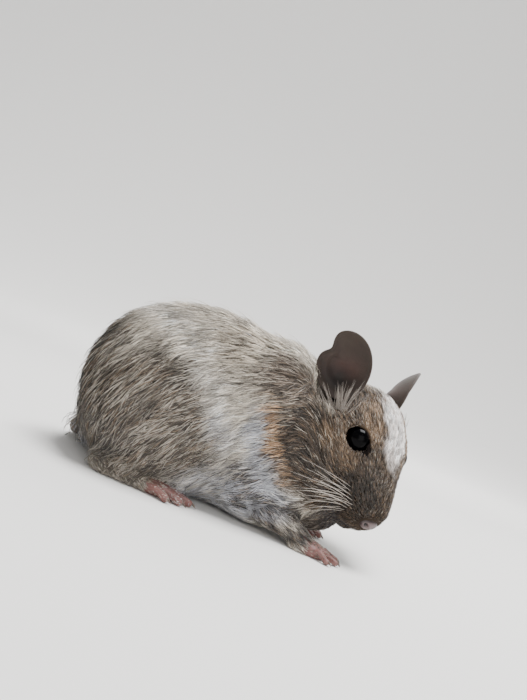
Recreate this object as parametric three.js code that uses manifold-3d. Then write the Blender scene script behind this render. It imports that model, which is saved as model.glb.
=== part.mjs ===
// A degu at rest in a low crouch, its head lowered and turned to its right, life size.
// Millimetres, +X towards the head, +Y to the animal's left, +Z up, the floor at Z = 0.
import * as THREE from "three";
import { ParametricGeometry } from "three/addons/geometries/ParametricGeometry.js";
import { mergeVertices } from "three/addons/utils/BufferGeometryUtils.js";
import Module from "manifold-3d";

const wasm = await Module();
wasm.setup();

// Driving sizes. Lengths are over the coat.
const TRUNK_LENGTH = 84;
const BACK_HEIGHT = 68;
const TRUNK_WIDTH = 54;
const HEAD_LENGTH = 54;
const HEAD_WIDTH = 34;
const HEAD_YAW = THREE.MathUtils.degToRad(56);
const HEAD_PITCH = THREE.MathUtils.degToRad(45);
const HEAD_ROLL = THREE.MathUtils.degToRad(-7);
const EYE_DIAMETER = 9.4;
const EAR_HEIGHT = 24;
const EAR_WIDTH = 20.5;
const EAR_THICKNESS = 1;
const FORE_PAW_LENGTH = 17;
const HIND_FOOT_LENGTH = 35;
const TAIL_RADIUS = 2.7;
const BRUSH_RADIUS = 4.8;
const GAP = 0.3;

const MATERIALS = {
  coat: new THREE.MeshStandardMaterial({ color: 0xb3a697, roughness: 0.9, metalness: 0 }),
  face: new THREE.MeshStandardMaterial({ color: 0x8c7459, roughness: 0.9, metalness: 0 }),
  tail: new THREE.MeshStandardMaterial({ color: 0x7a6a58, roughness: 0.9, metalness: 0 }),
  brush: new THREE.MeshStandardMaterial({ color: 0x2b2623, roughness: 0.85, metalness: 0 }),
  ear: new THREE.MeshStandardMaterial({ color: 0x6d5a54, roughness: 0.7, metalness: 0 }),
  paw: new THREE.MeshStandardMaterial({ color: 0xc49a94, roughness: 0.6, metalness: 0 }),
  nose: new THREE.MeshStandardMaterial({ color: 0x8a6a68, roughness: 0.5, metalness: 0 }),
  eye: new THREE.MeshStandardMaterial({ color: 0x08080a, roughness: 0.1, metalness: 0 }),
};

const vec = (x, y, z) => new THREE.Vector3(x, y, z);
const mix = THREE.MathUtils.lerp;
const clamp = THREE.MathUtils.clamp;

// Frames: an origin and three unit axes, forward, left and up.
function frame(origin, forward, left) {
  const f = forward.clone().normalize();
  const l = left.clone().addScaledVector(f, -left.dot(f)).normalize();
  return { origin, f, l, u: f.clone().cross(l) };
}

function at(where, f, l, u) {
  return where.origin
    .clone()
    .addScaledVector(where.f, f)
    .addScaledVector(where.l, l)
    .addScaledVector(where.u, u);
}

function matrixOf(where) {
  return new THREE.Matrix4().makeBasis(where.f, where.l, where.u).setPosition(where.origin);
}

const BODY = frame(vec(0, 0, 0), vec(1, 0, 0), vec(0, 1, 0));

// The head's frame starts at the tip of the nose: f is forward along the snout, so the head lies at f below 0.
const NOSE_TIP = vec(56.5, -19, 16.8);
const HEAD_LEFT = vec(Math.sin(HEAD_YAW), Math.cos(HEAD_YAW), 0);
const HEAD_FORWARD = vec(
  Math.cos(HEAD_PITCH) * Math.cos(HEAD_YAW),
  -Math.cos(HEAD_PITCH) * Math.sin(HEAD_YAW),
  -Math.sin(HEAD_PITCH),
);
const HEAD = frame(NOSE_TIP, HEAD_FORWARD, HEAD_LEFT.applyAxisAngle(HEAD_FORWARD, HEAD_ROLL));

// Soft forms: a function of a point that is near its distance from the surface, and negative inside.
function ellipsoid(where, centre, radii) {
  const middle = at(where, ...centre);
  const d = new THREE.Vector3();
  return (p) => {
    d.subVectors(p, middle);
    const x = d.dot(where.f) / radii[0];
    const y = d.dot(where.l) / radii[1];
    const z = d.dot(where.u) / radii[2];
    const size = Math.hypot(x, y, z);
    const slope = Math.hypot(x / radii[0], y / radii[1], z / radii[2]);
    return slope < 1e-9 ? -Math.min(...radii) : (size * (size - 1)) / slope;
  };
}

function taperedLimb(from, to, fromRadius, toRadius) {
  const along = to.clone().sub(from);
  const d = new THREE.Vector3();
  return (p) => {
    const t = clamp(d.subVectors(p, from).dot(along) / along.lengthSq(), 0, 1);
    return d.addScaledVector(along, -t).length() - mix(fromRadius, toRadius, t);
  };
}

function smoothMin(a, b, reach) {
  const share = Math.max(reach - Math.abs(a - b), 0) / reach;
  return Math.min(a, b) - (share * share * reach) / 4;
}

function blend(reach, ...forms) {
  return (p) => forms.reduce((sum, form) => smoothMin(sum, form(p), reach), 1e6);
}

// The muscle and coat masses of the trunk, from the driving sizes.
const HALF_TRUNK = TRUNK_WIDTH / 2;
const MIDDLE_HEIGHT = BACK_HEIGHT * 0.48;
const HAUNCH = { x: -25, y: 19.5, z: 23.5 };
const HAUNCH_RADII = [24.5, 12.5, 24.5];
const SHOULDER = { x: 15, y: 15, z: 21 };
const SHOULDER_RADII = [14, 9, 19];
const SIDES = { right: -1, left: 1 };

const trunkForm = blend(
  10,
  ellipsoid(BODY, [-16, 0, MIDDLE_HEIGHT], [TRUNK_LENGTH / 2, HALF_TRUNK, BACK_HEIGHT * 0.525]),
  ellipsoid(BODY, [-35.5, 1, 29.5], [23.5, HALF_TRUNK * 0.96, 29.5]),
  ellipsoid(BODY, [11, -1, 32], [24, HALF_TRUNK * 0.82, 32.5]),
  ellipsoid(BODY, [27, -9, 25], [17, 15, 19]),
  ...Object.values(SIDES).flatMap((side) => [
    ellipsoid(BODY, [HAUNCH.x, side * HAUNCH.y, HAUNCH.z], HAUNCH_RADII),
    ellipsoid(BODY, [SHOULDER.x, side * SHOULDER.y, SHOULDER.z], SHOULDER_RADII),
  ]),
);

const HALF_HEAD = HEAD_WIDTH / 2;
const skullForm = blend(
  6,
  ellipsoid(HEAD, [-HEAD_LENGTH * 0.72, 0, 2], [17, HALF_HEAD * 0.98, 15.5]),
  ellipsoid(HEAD, [-HEAD_LENGTH * 0.52, 0, 5.5], [14, HALF_HEAD * 0.78, 12]),
  ...Object.values(SIDES).map((side) =>
    ellipsoid(HEAD, [-HEAD_LENGTH * 0.5, side * HALF_HEAD * 0.46, -4], [14, HALF_HEAD * 0.56, 10.5]),
  ),
);
const snoutForm = blend(
  6,
  ellipsoid(HEAD, [-19, 0, -6], [14, 9.5, 8]),
  ellipsoid(HEAD, [-14.5, 0, 0.8], [14, 10.2, 10.6]),
  ellipsoid(HEAD, [-5, 0, -2.4], [5.4, 6.6, 6.4]),
);

const neckForm = taperedLimb(vec(12, -1, 42), at(HEAD, -HEAD_LENGTH * 0.68, 0, 0), 23, 16.5);
const throatForm = ellipsoid(HEAD, [-HEAD_LENGTH * 0.54, 0, -10], [16, HALF_HEAD * 0.72, 9.5]);
const bodyForm = blend(9, trunkForm, neckForm, skullForm, throatForm);
const headForm = blend(9, neckForm, skullForm, throatForm, snoutForm);

// A closed grid: place(u, v, target) goes once round as u runs from 0 to 1, and from pole to pole as v does.
function closedGrid(place, around, along) {
  const wrapped = (u, v, target) => place(u % 1, v, target);
  return new ParametricGeometry(wrapped, around, along);
}

// A three.js geometry with its shared points merged, as a solid that can be joined and cut.
function solidOf(geometry) {
  const bare = geometry.clone();
  bare.deleteAttribute("normal");
  bare.deleteAttribute("uv");
  const merged = mergeVertices(bare, 1e-4);
  const corners = [...merged.index.array];
  const triVerts = [];
  for (let i = 0; i < corners.length; i += 3) {
    const [a, b, c] = corners.slice(i, i + 3);
    if (a !== b && b !== c && c !== a) triVerts.push(a, b, c);
  }
  const mesh = new wasm.Mesh({
    numProp: 3,
    vertProperties: merged.attributes.position.array,
    triVerts: Uint32Array.from(triVerts),
  });
  return new wasm.Manifold(mesh);
}

function geometryOf(solid) {
  const mesh = solid.getMesh();
  const geometry = new THREE.BufferGeometry();
  geometry.setAttribute("position", new THREE.BufferAttribute(mesh.vertProperties, 3));
  geometry.setIndex(new THREE.BufferAttribute(mesh.triVerts, 1));
  return geometry;
}

function join(solids) {
  return solids.reduce((sum, solid) => sum.add(solid));
}

function largestOf(solid) {
  return solid.decompose().reduce((best, piece) => (piece.volume() > best.volume() ? piece : best));
}

// How far a soft form reaches from a point inside it along a direction: steps out, then halves the last step.
function reachOf(form, from, direction) {
  const STEP = 1;
  const HALVINGS = 12;
  const p = from.clone();
  let inside = 0;
  let outside = STEP;
  while (form(p.copy(from).addScaledVector(direction, outside)) < 0) {
    inside = outside;
    outside += STEP;
  }
  for (let i = 0; i < HALVINGS; i += 1) {
    const middle = (inside + outside) / 2;
    if (form(p.copy(from).addScaledVector(direction, middle)) < 0) inside = middle;
    else outside = middle;
  }
  return (inside + outside) / 2;
}

// A skin cast from a spine out to a soft form. The ends are rounded: rings fan about the spine's first and last points.
function castSkin(form, spine, top, { around, along, fan }) {
  const curve = new THREE.CatmullRomCurve3(spine);
  const place = (u, v, target) => {
    const s = clamp((v - fan) / (1 - 2 * fan), 0, 1);
    const from = curve.getPointAt(s);
    const tangent = curve.getTangentAt(s);
    const tilt = v < fan ? v / fan - 1 : Math.max(0, (v - 1 + fan) / fan);
    const up = top.clone().addScaledVector(tangent, -top.dot(tangent)).normalize();
    const side = tangent.clone().cross(up);
    const turn = u * 2 * Math.PI;
    const lean = (Math.abs(tilt) > 0.999999 ? Math.sign(tilt) : tilt) * (Math.PI / 2);
    const across = Math.abs(tilt) > 0.999999 ? 0 : Math.cos(lean);
    const direction = up
      .multiplyScalar(Math.cos(turn) * across)
      .addScaledVector(side, Math.sin(turn) * across)
      .addScaledVector(tangent, Math.sin(lean));
    target.copy(from).addScaledVector(direction, reachOf(form, from, direction));
  };
  return solidOf(closedGrid(place, around, along));
}

// A tube along a curve or through a row of points, closed by a flat face at both ends.
// size(t) gives half its width and half its height.
function tube(path, size, top, around, along) {
  const curve = Array.isArray(path) ? new THREE.CatmullRomCurve3(path) : path;
  const place = (u, v, target) => {
    const t = clamp((v * along - 1) / (along - 2), 0, 1);
    const tangent = curve.getTangentAt(t);
    const up = top.clone().addScaledVector(tangent, -top.dot(tangent)).normalize();
    const side = tangent.clone().cross(up);
    const turn = u * 2 * Math.PI;
    const [wide, high] = v <= 0 || v >= 1 ? [0, 0] : size(t);
    target
      .copy(curve.getPointAt(t))
      .addScaledVector(up, Math.cos(turn) * high)
      .addScaledVector(side, Math.sin(turn) * wide);
  };
  return solidOf(closedGrid(place, around, along));
}

// How full a rounded tube is at t: 0 at its two ends, 1 between them.
const rounded = (t, start, end) => Math.sqrt(Math.max(0.02, 1 - clamp(1 - t / start, 0, 1) ** 2 - clamp(1 - (1 - t) / end, 0, 1) ** 2));

function ball(where, centre, radii, [around, along]) {
  const geometry = new THREE.SphereGeometry(1, around, along);
  geometry.scale(...radii);
  geometry.applyMatrix4(matrixOf(where).multiply(new THREE.Matrix4().makeTranslation(...centre)));
  return solidOf(geometry);
}

function block(where, low, high) {
  const size = high.map((value, i) => value - low[i]);
  const geometry = new THREE.BoxGeometry(...size);
  geometry.translate(...low.map((value, i) => value + size[i] / 2));
  return solidOf(geometry.applyMatrix4(matrixOf(where)));
}

// All that lies ahead of a frame's origin, as a large block.
const FAR = 200;
const ahead = (where, from = 0) => block(where, [from, -FAR, -FAR], [FAR, FAR, FAR]);
const floorBlock = block(BODY, [-FAR, -FAR, -FAR], [FAR, FAR, 0]);

// The skins of the trunk and of the head. They follow one form, so they meet where they are cut.
// The throat's skin lies inside the head's and fills what the head leaves open below it.
const UP = vec(0, 0, 1);
const SPINE = [vec(-44, 1, 24), vec(-28, 0, 31), vec(-6, 0, 34), vec(14, -2, 38), vec(29, -5, 42)];
const trunkSkin = castSkin(bodyForm, SPINE, UP, { around: 28, along: 24, fan: 0.2 });
const throatSkin = castSkin(
  blend(9, trunkForm, neckForm, throatForm),
  [vec(-4, 0, 34), vec(8, -2, 36), vec(18, -4, 38), vec(26, -6, 40)],
  UP,
  { around: 24, along: 14, fan: 0.3 },
);
const headSkin = castSkin(
  headForm,
  [at(HEAD, -42, 0, 0), at(HEAD, -30, 0, -1), at(HEAD, -18, 0, -2), at(HEAD, -6, 0, -3)],
  HEAD.u,
  { around: 26, along: 22, fan: 0.2 },
);

// The rounds and the plane where the flesh is parted into nodes.
const headRound = (grow) => ball(HEAD, [-26, 0, 0], [34.5 + grow, 28 + grow, 27 + grow], [22, 14]);
const neckCut = frame(vec(15, -2, 42), vec(1, -0.15, 0.45), vec(0, 1, 0));
const thighRound = (side, grow) =>
  ball(
    BODY,
    [HAUNCH.x + 2, SIDES[side] * (HAUNCH.y + 6), HAUNCH.z - 1],
    [25 + grow, 14 + grow, 25 + grow],
    [20, 14],
  );
const upperArmRound = (side, grow) =>
  ball(
    BODY,
    [SHOULDER.x + 1, SIDES[side] * (SHOULDER.y + 6), SHOULDER.z - 5],
    [13 + grow, 12 + grow, 17 + grow],
    [18, 12],
  );

// A forearm runs from inside the coat at the elbow to the wrist.
const FOREARM = { elbowRadius: 7.5, wristRadius: 4.2 };
const ELBOW = { right: vec(13, -16.5, 11), left: vec(11, 15, 11) };
const WRIST = { right: vec(34.5, -23.5, 4.6), left: vec(31, 11, 4.6) };
const forearm = (side, grow) => {
  const path = [ELBOW[side], ELBOW[side].clone().lerp(WRIST[side], 0.5), WRIST[side]];
  const size = (t) => mix(FOREARM.elbowRadius, FOREARM.wristRadius, t ** 1.3) * rounded(t, 0.25, 0.01) + grow;
  return tube(path, (t) => [size(t), size(t)], UP, 12, 6);
};

// Paws: a palm and its digits in a frame whose origin is the wrist over the floor.
function digit(where, root, tip, { toeWidth, lift, claw }, grow) {
  const heading = vec(tip[0] - root[0], tip[1] - root[1], 0).normalize();
  const onward = (reach, height) => at(where, tip[0] + heading.x * reach, tip[1] + heading.y * reach, height);
  const middle = at(where, mix(root[0], tip[0], 0.5), mix(root[1], tip[1], 0.5), root[2] + lift);
  const thick = (t) => toeWidth * rounded(t, 0.01, 0.25) + grow;
  const toe = tube([at(where, ...root), middle, onward(grow, tip[2])], (t) => [thick(t), thick(t)], where.u, 6, 5);
  if (grow > 0) return toe;
  const nail = tube(
    [onward(-1.4, 1.7), onward(claw * 0.45, 1.6), onward(claw, 0.5)],
    (t) => [mix(0.6, 0.15, t), mix(0.75, 0.2, t)],
    where.u,
    4,
    4,
  );
  return toe.add(nail);
}

// A paw: the palm or sole, flat on the floor, and its digits spread like a fan.
// It is a little larger all round by grow where it stands for the room that it needs.
function paw(where, spec, grow) {
  const { length, width, height, spread, fan, toes } = spec;
  const full = (t) => rounded(t, 0.1, 0.12);
  const sole = tube(
    [at(where, -4 - grow, 0, height), at(where, length * 0.45, 0, height * 0.8), at(where, length + grow, 0, 1.8)],
    (t) => [mix(width[0], width[1], t) * full(t) + grow, mix(height, height * 0.55, t) * full(t) + grow],
    where.u,
    11,
    7,
  );
  const digits = toes.map((reach, i) => {
    const share = i / (toes.length - 1) - 0.5;
    const root = [length * (0.82 - Math.abs(share) * 0.3), share * spread, 2];
    const tip = [root[0] + reach * Math.cos(share * fan), root[1] + reach * Math.sin(share * fan), 1.4];
    return digit(where, root, tip, spec, grow);
  });
  return join([sole, ...digits]);
}

const forePawFrame = {
  right: frame(vec(WRIST.right.x, WRIST.right.y, 0), vec(1, -0.02, 0), vec(0, 1, 0)),
  left: frame(vec(WRIST.left.x, WRIST.left.y, 0), vec(1, 0.05, 0), vec(0, 1, 0)),
};
const hindFootFrame = {
  right: frame(vec(-36, -25.5, 0), vec(1, -0.03, 0), vec(0, 1, 0)),
  left: frame(vec(-37, 25.5, 0), vec(1, 0.05, 0), vec(0, 1, 0)),
};

const FORE_PAW = {
  length: FORE_PAW_LENGTH * 0.5,
  spread: 6.4,
  fan: 1.1,
  toes: [5.6, 7.4, 7.6, 6],
  toeWidth: 1.3,
  lift: 1,
  claw: 1.9,
  width: [3.4, 4.2],
  height: 3.4,
};

const HIND_FOOT = {
  length: HIND_FOOT_LENGTH * 0.66,
  spread: 8,
  fan: 0.8,
  toes: [8, 10.5, 11.5, 11, 8.4],
  toeWidth: 1.45,
  lift: 1.2,
  claw: 2.8,
  width: [4.2, 5],
  height: 4.2,
};

// Ears: a cupped round shell. The polar grid runs from the cup's middle to its rim on the inner face and back on the outer.
function earFrame(side) {
  const out = SIDES[side];
  const axis = vec(-0.68, 0.34 * out, 0.66).normalize();
  const opening = vec(0.66, 0.7 * out, 0.25);
  const toBody = (v) =>
    vec(0, 0, 0).addScaledVector(HEAD.f, v.x).addScaledVector(HEAD.l, v.y).addScaledVector(HEAD.u, v.z);
  const up = toBody(axis);
  const facing = toBody(opening);
  facing.addScaledVector(up, -facing.dot(up)).normalize();
  return frame(at(HEAD, -46, 14.2 * out, 6), up, facing);
}

function ear(side, grow) {
  const where = earFrame(side);
  const out = SIDES[side];
  const RIM_NOTCH = { turn: 0.94, depth: 0.36, width: 0.3 };
  const CUP_DEPTH = 7.5;
  const middle = EAR_HEIGHT * 0.47;
  const outline = (turn) => {
    const gap = Math.atan2(Math.sin(turn - RIM_NOTCH.turn), Math.cos(turn - RIM_NOTCH.turn));
    return 1 - RIM_NOTCH.depth * Math.exp(-((gap / RIM_NOTCH.width) ** 2));
  };
  const place = (u, v, target) => {
    const turn = out * u * 2 * Math.PI;
    const inner = v < 0.5;
    const share = (inner ? v * 2 : 2 - v * 2) * (1 + grow / middle);
    const rim = outline(turn);
    const high = share * rim * Math.cos(turn) * EAR_HEIGHT * 0.53;
    const wide = share * rim * Math.sin(turn) * EAR_WIDTH * 0.5;
    const low = clamp(-high / (EAR_HEIGHT * 0.5), 0, 1);
    const depth = CUP_DEPTH * (1 - share ** 2) * (0.55 + 0.45 * low) - 2.2 * low * share;
    const face = (inner ? 1 : -1) * (EAR_THICKNESS / 2 + grow);
    target.copy(at(where, middle + high, face - depth, wide * out));
  };
  return solidOf(closedGrid(place, 20, 10));
}

// Eyes, and the lids that close round them.
const EYE_PLACE = { f: -26.5, l: 11, u: 9 };
const eyeFrame = (side) => {
  const out = SIDES[side];
  const centre = at(HEAD, EYE_PLACE.f, EYE_PLACE.l * out, EYE_PLACE.u);
  const outward = vec(0, 0, 0)
    .addScaledVector(HEAD.f, 0.3)
    .addScaledVector(HEAD.l, 0.9 * out)
    .addScaledVector(HEAD.u, 0.3)
    .normalize();
  return frame(centre, outward, HEAD.f);
};
const EYE_RADIUS = EYE_DIAMETER / 2;
const eyeBall = (side, grow) =>
  ball(eyeFrame(side), [0, 0, 0], [EYE_RADIUS + grow, EYE_RADIUS + grow, EYE_RADIUS + grow], [16, 10]);

// An almond ring round the eye, drawn out to the front corner towards the nose.
function lidRing(side) {
  const where = eyeFrame(side);
  const LID = { long: 4.9, high: 4.1, corner: 1.6, forward: 2.6, thick: 0.85 };
  const place = (u, v, target) => {
    const turn = u * 2 * Math.PI;
    const section = v * 2 * Math.PI;
    const front = Math.max(0, Math.cos(turn));
    const long = (LID.long + LID.corner * front ** 6) * Math.cos(turn);
    const high = LID.high * Math.sin(turn) * (1 - 0.25 * front ** 2);
    const spreadOut = LID.thick * Math.cos(section);
    const scale = 1 + spreadOut / LID.long;
    const outward = LID.forward - 1.3 * front ** 3 + LID.thick * Math.sin(section);
    target.copy(at(where, outward, long * scale, high * scale));
  };
  const ring = (u, v, target) => place(u % 1, v % 1, target);
  return solidOf(new ParametricGeometry(ring, 18, 5));
}

// Nose pad, nostrils, and the line of the mouth under the lips.
const nosePad = (grow) => ball(HEAD, [-1.1, 0, -0.6], [1.9 + grow, 3.4 + grow, 2 + grow], [12, 8]);
const nostril = (out) => ball(HEAD, [0.2, 2 * out, -0.4], [1, 0.8, 0.5], [8, 5]);
const mouthLine = (out) =>
  tube(
    [at(HEAD, -1.6, 0, -7.6), at(HEAD, -5, 3.9 * out, -8.1), at(HEAD, -10, 6.6 * out, -8), at(HEAD, -13.5, 8.8 * out, -7)],
    (t) => [1.6, mix(0.55, 0.3, t)],
    HEAD.u,
    6,
    6,
  );
const lipCleft = tube(
  [at(HEAD, 0.4, 0, -2.4), at(HEAD, 0.2, 0, -5), at(HEAD, -0.6, 0, -7.4)],
  () => [0.45, 0.7],
  HEAD.f,
  6,
  5,
);

// The tail leaves the rump low down and lies round the far side of the body, in three lengths.
const tailCurve = new THREE.CatmullRomCurve3([
  vec(-46, 3, 11),
  vec(-55, 9, 7),
  vec(-58, 20, 3.4),
  vec(-52, 31, 2.7),
  vec(-40, 38, 2.5),
  vec(-24, 41.5, 2.4),
  vec(-8, 42.5, 2.4),
  vec(6, 42, 2.4),
  vec(20, 39, 2.6),
  vec(31, 34, 2.8),
]);
const TAIL_SHARES = { base: 0.32, middle: 0.7 };
const tailPart = (from, to) => ({
  getPointAt: (t) => tailCurve.getPointAt(mix(from, to, t)),
  getTangentAt: (t) => tailCurve.getTangentAt(mix(from, to, t)),
});
const tailRadius = (share) => TAIL_RADIUS * (0.95 + 0.8 * Math.max(0, 1 - share / TAIL_SHARES.base) ** 1.5);
const TAIL_STEP = GAP / tailCurve.getLength();

function tailLength(from, to, grow, along) {
  const size = (t) => tailRadius(mix(from, to, t)) + grow;
  return tube(tailPart(from, to), (t) => [size(t), size(t)], UP, 12, along);
}

// One flat tapered lock of the brush: its root is sunk in the tail, its tip lies back along it.
function brushLock(share, turn, length) {
  const along = length / tailCurve.getLength();
  const spreadAt = (t) => BRUSH_RADIUS * (0.14 + 0.86 * Math.sin((t * Math.PI) / 2));
  const points = [0, 0.35, 0.7, 1].map((t) => {
    const place = Math.min(share + along * t, 1);
    const beyond = Math.max(share + along * t - 1, 0) * tailCurve.getLength();
    const tangent = tailCurve.getTangentAt(place);
    const side = tangent.clone().cross(UP).normalize();
    const reach = spreadAt(t);
    return tailCurve
      .getPointAt(place)
      .addScaledVector(tangent, beyond)
      .addScaledVector(side, Math.sin(turn) * reach)
      .addScaledVector(UP, Math.cos(turn) * reach * 0.8);
  });
  const across = tailCurve.getTangentAt(Math.min(share + along / 2, 1)).cross(UP).normalize();
  const outward = across.multiplyScalar(Math.sin(turn)).addScaledVector(UP, Math.cos(turn));
  const width = (t) => BRUSH_LOCK_WIDTH * Math.max(1 - t, 0.12) ** 0.6;
  return tube(points, (t) => [width(t), width(t) * 0.45], outward, 4, 5);
}

// The brush: rings of locks over the top and sides of the tail's last third, closing to a tuft beyond its tip.
const BRUSH_LOCK_WIDTH = 2.1;
const BRUSH_RINGS = 4;
const BRUSH_LOCKS_A_RING = 5;
const BRUSH_SIDE_TURN = 1.9;
function brush() {
  const from = TAIL_SHARES.middle + TAIL_STEP;
  const thin = (t) => TAIL_RADIUS * mix(0.95, 0.7, t) * rounded(t, 0.001, 0.2);
  const parts = [tube(tailPart(from, 1), (t) => [thin(t), thin(t)], UP, 10, 10)];
  for (let ring = 0; ring < BRUSH_RINGS; ring += 1) {
    const share = mix(from + 0.03, 0.985, ring / (BRUSH_RINGS - 1));
    for (let i = 0; i < BRUSH_LOCKS_A_RING; i += 1) {
      const turn = mix(-BRUSH_SIDE_TURN, BRUSH_SIDE_TURN, (i + (ring % 2) / 2) / (BRUSH_LOCKS_A_RING - 0.5));
      parts.push(brushLock(share, turn, 12 + 1.5 * Math.sin(i * 2.4 + ring)));
    }
  }
  return join(parts);
}

function both(make) {
  return join(Object.keys(SIDES).map(make));
}

// Part the flesh into its nodes, each with a narrow gap to its neighbours.
function build() {
  const above = (solid) => largestOf(solid.subtract(floorBlock));
  const sockets = both((side) => eyeBall(side, GAP));
  const earRooms = both((side) => ear(side, GAP * 2.4));
  const cuts = join([mouthLine(1), mouthLine(-1), lipCleft, nostril(1), nostril(-1)]);
  const head = headSkin
    .add(throatSkin)
    .intersect(headRound(0))
    .add(both(lidRing))
    .subtract(sockets)
    .subtract(nosePad(GAP))
    .subtract(earRooms)
    .subtract(cuts);

  let flesh = trunkSkin.subtract(headRound(GAP)).subtract(earRooms);
  const nodes = { head };
  flesh = flesh.subtract(tailLength(0, TAIL_SHARES.base, GAP, 9));
  for (const side of Object.keys(SIDES)) {
    const forepaw = paw(forePawFrame[side], FORE_PAW, 0);
    const foot = paw(hindFootFrame[side], HIND_FOOT, 0);
    nodes[`${side}_forepaw`] = forepaw;
    nodes[`${side}_hind_foot`] = foot;
    nodes[`${side}_forearm`] = forearm(side, 0).subtract(paw(forePawFrame[side], FORE_PAW, GAP)).subtract(forepaw);
    flesh = flesh
      .subtract(forearm(side, GAP))
      .subtract(paw(forePawFrame[side], FORE_PAW, GAP))
      .subtract(paw(hindFootFrame[side], HIND_FOOT, GAP))
      .subtract(foot);
    nodes[`${side}_upper_arm`] = flesh.intersect(upperArmRound(side, 0));
    flesh = flesh.subtract(upperArmRound(side, GAP));
    nodes[`${side}_thigh`] = flesh.intersect(thighRound(side, 0));
    flesh = flesh.subtract(thighRound(side, GAP));
    nodes[`${side}_ear`] = ear(side, 0);
    nodes[`${side}_eye`] = eyeBall(side, 0);
  }
  nodes.neck = flesh.intersect(ahead(neckCut, GAP / 2));
  nodes.torso = flesh.subtract(ahead(neckCut, -GAP / 2));
  nodes.nose = nosePad(0).subtract(both((side) => nostril(SIDES[side])));
  nodes.tail_base = tailLength(0.01, TAIL_SHARES.base, 0, 9);
  nodes.tail_middle = tailLength(TAIL_SHARES.base + TAIL_STEP, TAIL_SHARES.middle, 0, 11);
  nodes.tail_brush = brush();
  return Object.fromEntries(Object.entries(nodes).map(([name, solid]) => [name, above(solid)]));
}

// Each node with its material and its place: the joint it would turn about, or its own root.
const joint = (side, x, y, z) => vec(x, SIDES[side] * y, z);
const NODES = {
  head: { material: "face", place: at(HEAD, -46, 0, 0) },
  nose: { material: "nose", place: at(HEAD, -1.1, 0, -0.6) },
  neck: { material: "coat", place: vec(14, -1, 42) },
  torso: { material: "coat", place: vec(-10, 0, 32) },
  tail_base: { material: "tail", place: tailCurve.getPointAt(0) },
  tail_middle: { material: "tail", place: tailCurve.getPointAt(TAIL_SHARES.base) },
  tail_brush: { material: "brush", place: tailCurve.getPointAt(TAIL_SHARES.middle) },
};
for (const side of Object.keys(SIDES)) {
  NODES[`${side}_eye`] = { material: "eye", place: eyeFrame(side).origin };
  NODES[`${side}_ear`] = { material: "ear", place: earFrame(side).origin };
  NODES[`${side}_upper_arm`] = { material: "coat", place: joint(side, 14, 15, 26) };
  NODES[`${side}_forearm`] = { material: "coat", place: ELBOW[side] };
  NODES[`${side}_forepaw`] = { material: "paw", place: forePawFrame[side].origin };
  NODES[`${side}_thigh`] = { material: "coat", place: joint(side, -30, 15, 32) };
  NODES[`${side}_hind_foot`] = { material: "paw", place: hindFootFrame[side].origin };
}

const degu = new THREE.Group();
degu.name = "degu";
for (const [name, solid] of Object.entries(build())) {
  const { material, place } = NODES[name];
  const geometry = geometryOf(solid).translate(-place.x, -place.y, -place.z);
  const mesh = new THREE.Mesh(geometry, MATERIALS[material]);
  mesh.name = name;
  mesh.position.copy(place);
  degu.add(mesh);
}

// Stand the whole on the middle of its own footprint.
const box = new THREE.Box3().setFromObject(degu, true);
const middle = box.getCenter(new THREE.Vector3()).setZ(box.min.z);
for (const mesh of degu.children) mesh.position.sub(middle);

export default degu;
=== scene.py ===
"""A degu at rest in a low crouch, its head lowered and turned to its right: the coat, skin and eyes.

Shapes are worked out in millimetres in the body's frame, +X towards the head, +Y to the animal's left
and +Z up from the floor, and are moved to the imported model's frame, in metres, as each mesh is made.
"""
import logging
import math
from collections.abc import Sequence
from dataclasses import dataclass, field
from enum import Enum
from functools import cached_property
from typing import Protocol

import bmesh
import bpy
import numpy as np
from mathutils import Matrix, Vector


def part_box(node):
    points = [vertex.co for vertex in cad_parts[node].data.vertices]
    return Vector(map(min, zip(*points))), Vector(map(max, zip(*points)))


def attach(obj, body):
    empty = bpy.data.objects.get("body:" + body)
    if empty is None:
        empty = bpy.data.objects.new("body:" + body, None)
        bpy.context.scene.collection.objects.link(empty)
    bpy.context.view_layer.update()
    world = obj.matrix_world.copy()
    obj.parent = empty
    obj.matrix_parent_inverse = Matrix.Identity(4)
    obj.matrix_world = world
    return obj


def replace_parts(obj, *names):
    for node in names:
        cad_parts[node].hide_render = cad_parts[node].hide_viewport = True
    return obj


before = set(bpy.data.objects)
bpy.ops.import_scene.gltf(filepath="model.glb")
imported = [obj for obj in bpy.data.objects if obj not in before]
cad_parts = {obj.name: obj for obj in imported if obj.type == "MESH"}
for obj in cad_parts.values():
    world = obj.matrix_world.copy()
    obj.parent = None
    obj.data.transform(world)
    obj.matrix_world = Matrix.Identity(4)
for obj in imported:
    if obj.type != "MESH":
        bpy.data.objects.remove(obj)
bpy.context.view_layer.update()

Array = np.ndarray
LOG = logging.getLogger("degu")
UP = np.array([0.0, 0.0, 1.0])
LEVEL = np.array([1.0, 1.0, 0.0])


# Frames, forms and colours


def unit(vectors: Array) -> Array:
    """Vectors over their own lengths."""
    vectors = np.asarray(vectors, float)
    return vectors / np.maximum(np.linalg.norm(vectors, axis=-1, keepdims=True), 1e-9)


def smooth_step(values: Array) -> Array:
    """3t² - 2t³ of t held from 0 to 1."""
    t = np.clip(values, 0.0, 1.0)
    return t * t * (3.0 - 2.0 * t)


def mixed(first: Array, second: Array, share: Array) -> Array:
    """first + (second - first) · share."""
    return first + (second - first) * share


def tint(code: str) -> Array:
    """The linear colour of a six-digit sRGB code, each channel c as ((c + 0.055) / 1.055) to the 2.4."""
    channels = np.array([int(code[i : i + 2], 16) for i in (0, 2, 4)]) / 255.0
    return np.where(channels <= 0.04045, channels / 12.92, ((channels + 0.055) / 1.055) ** 2.4)


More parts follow.
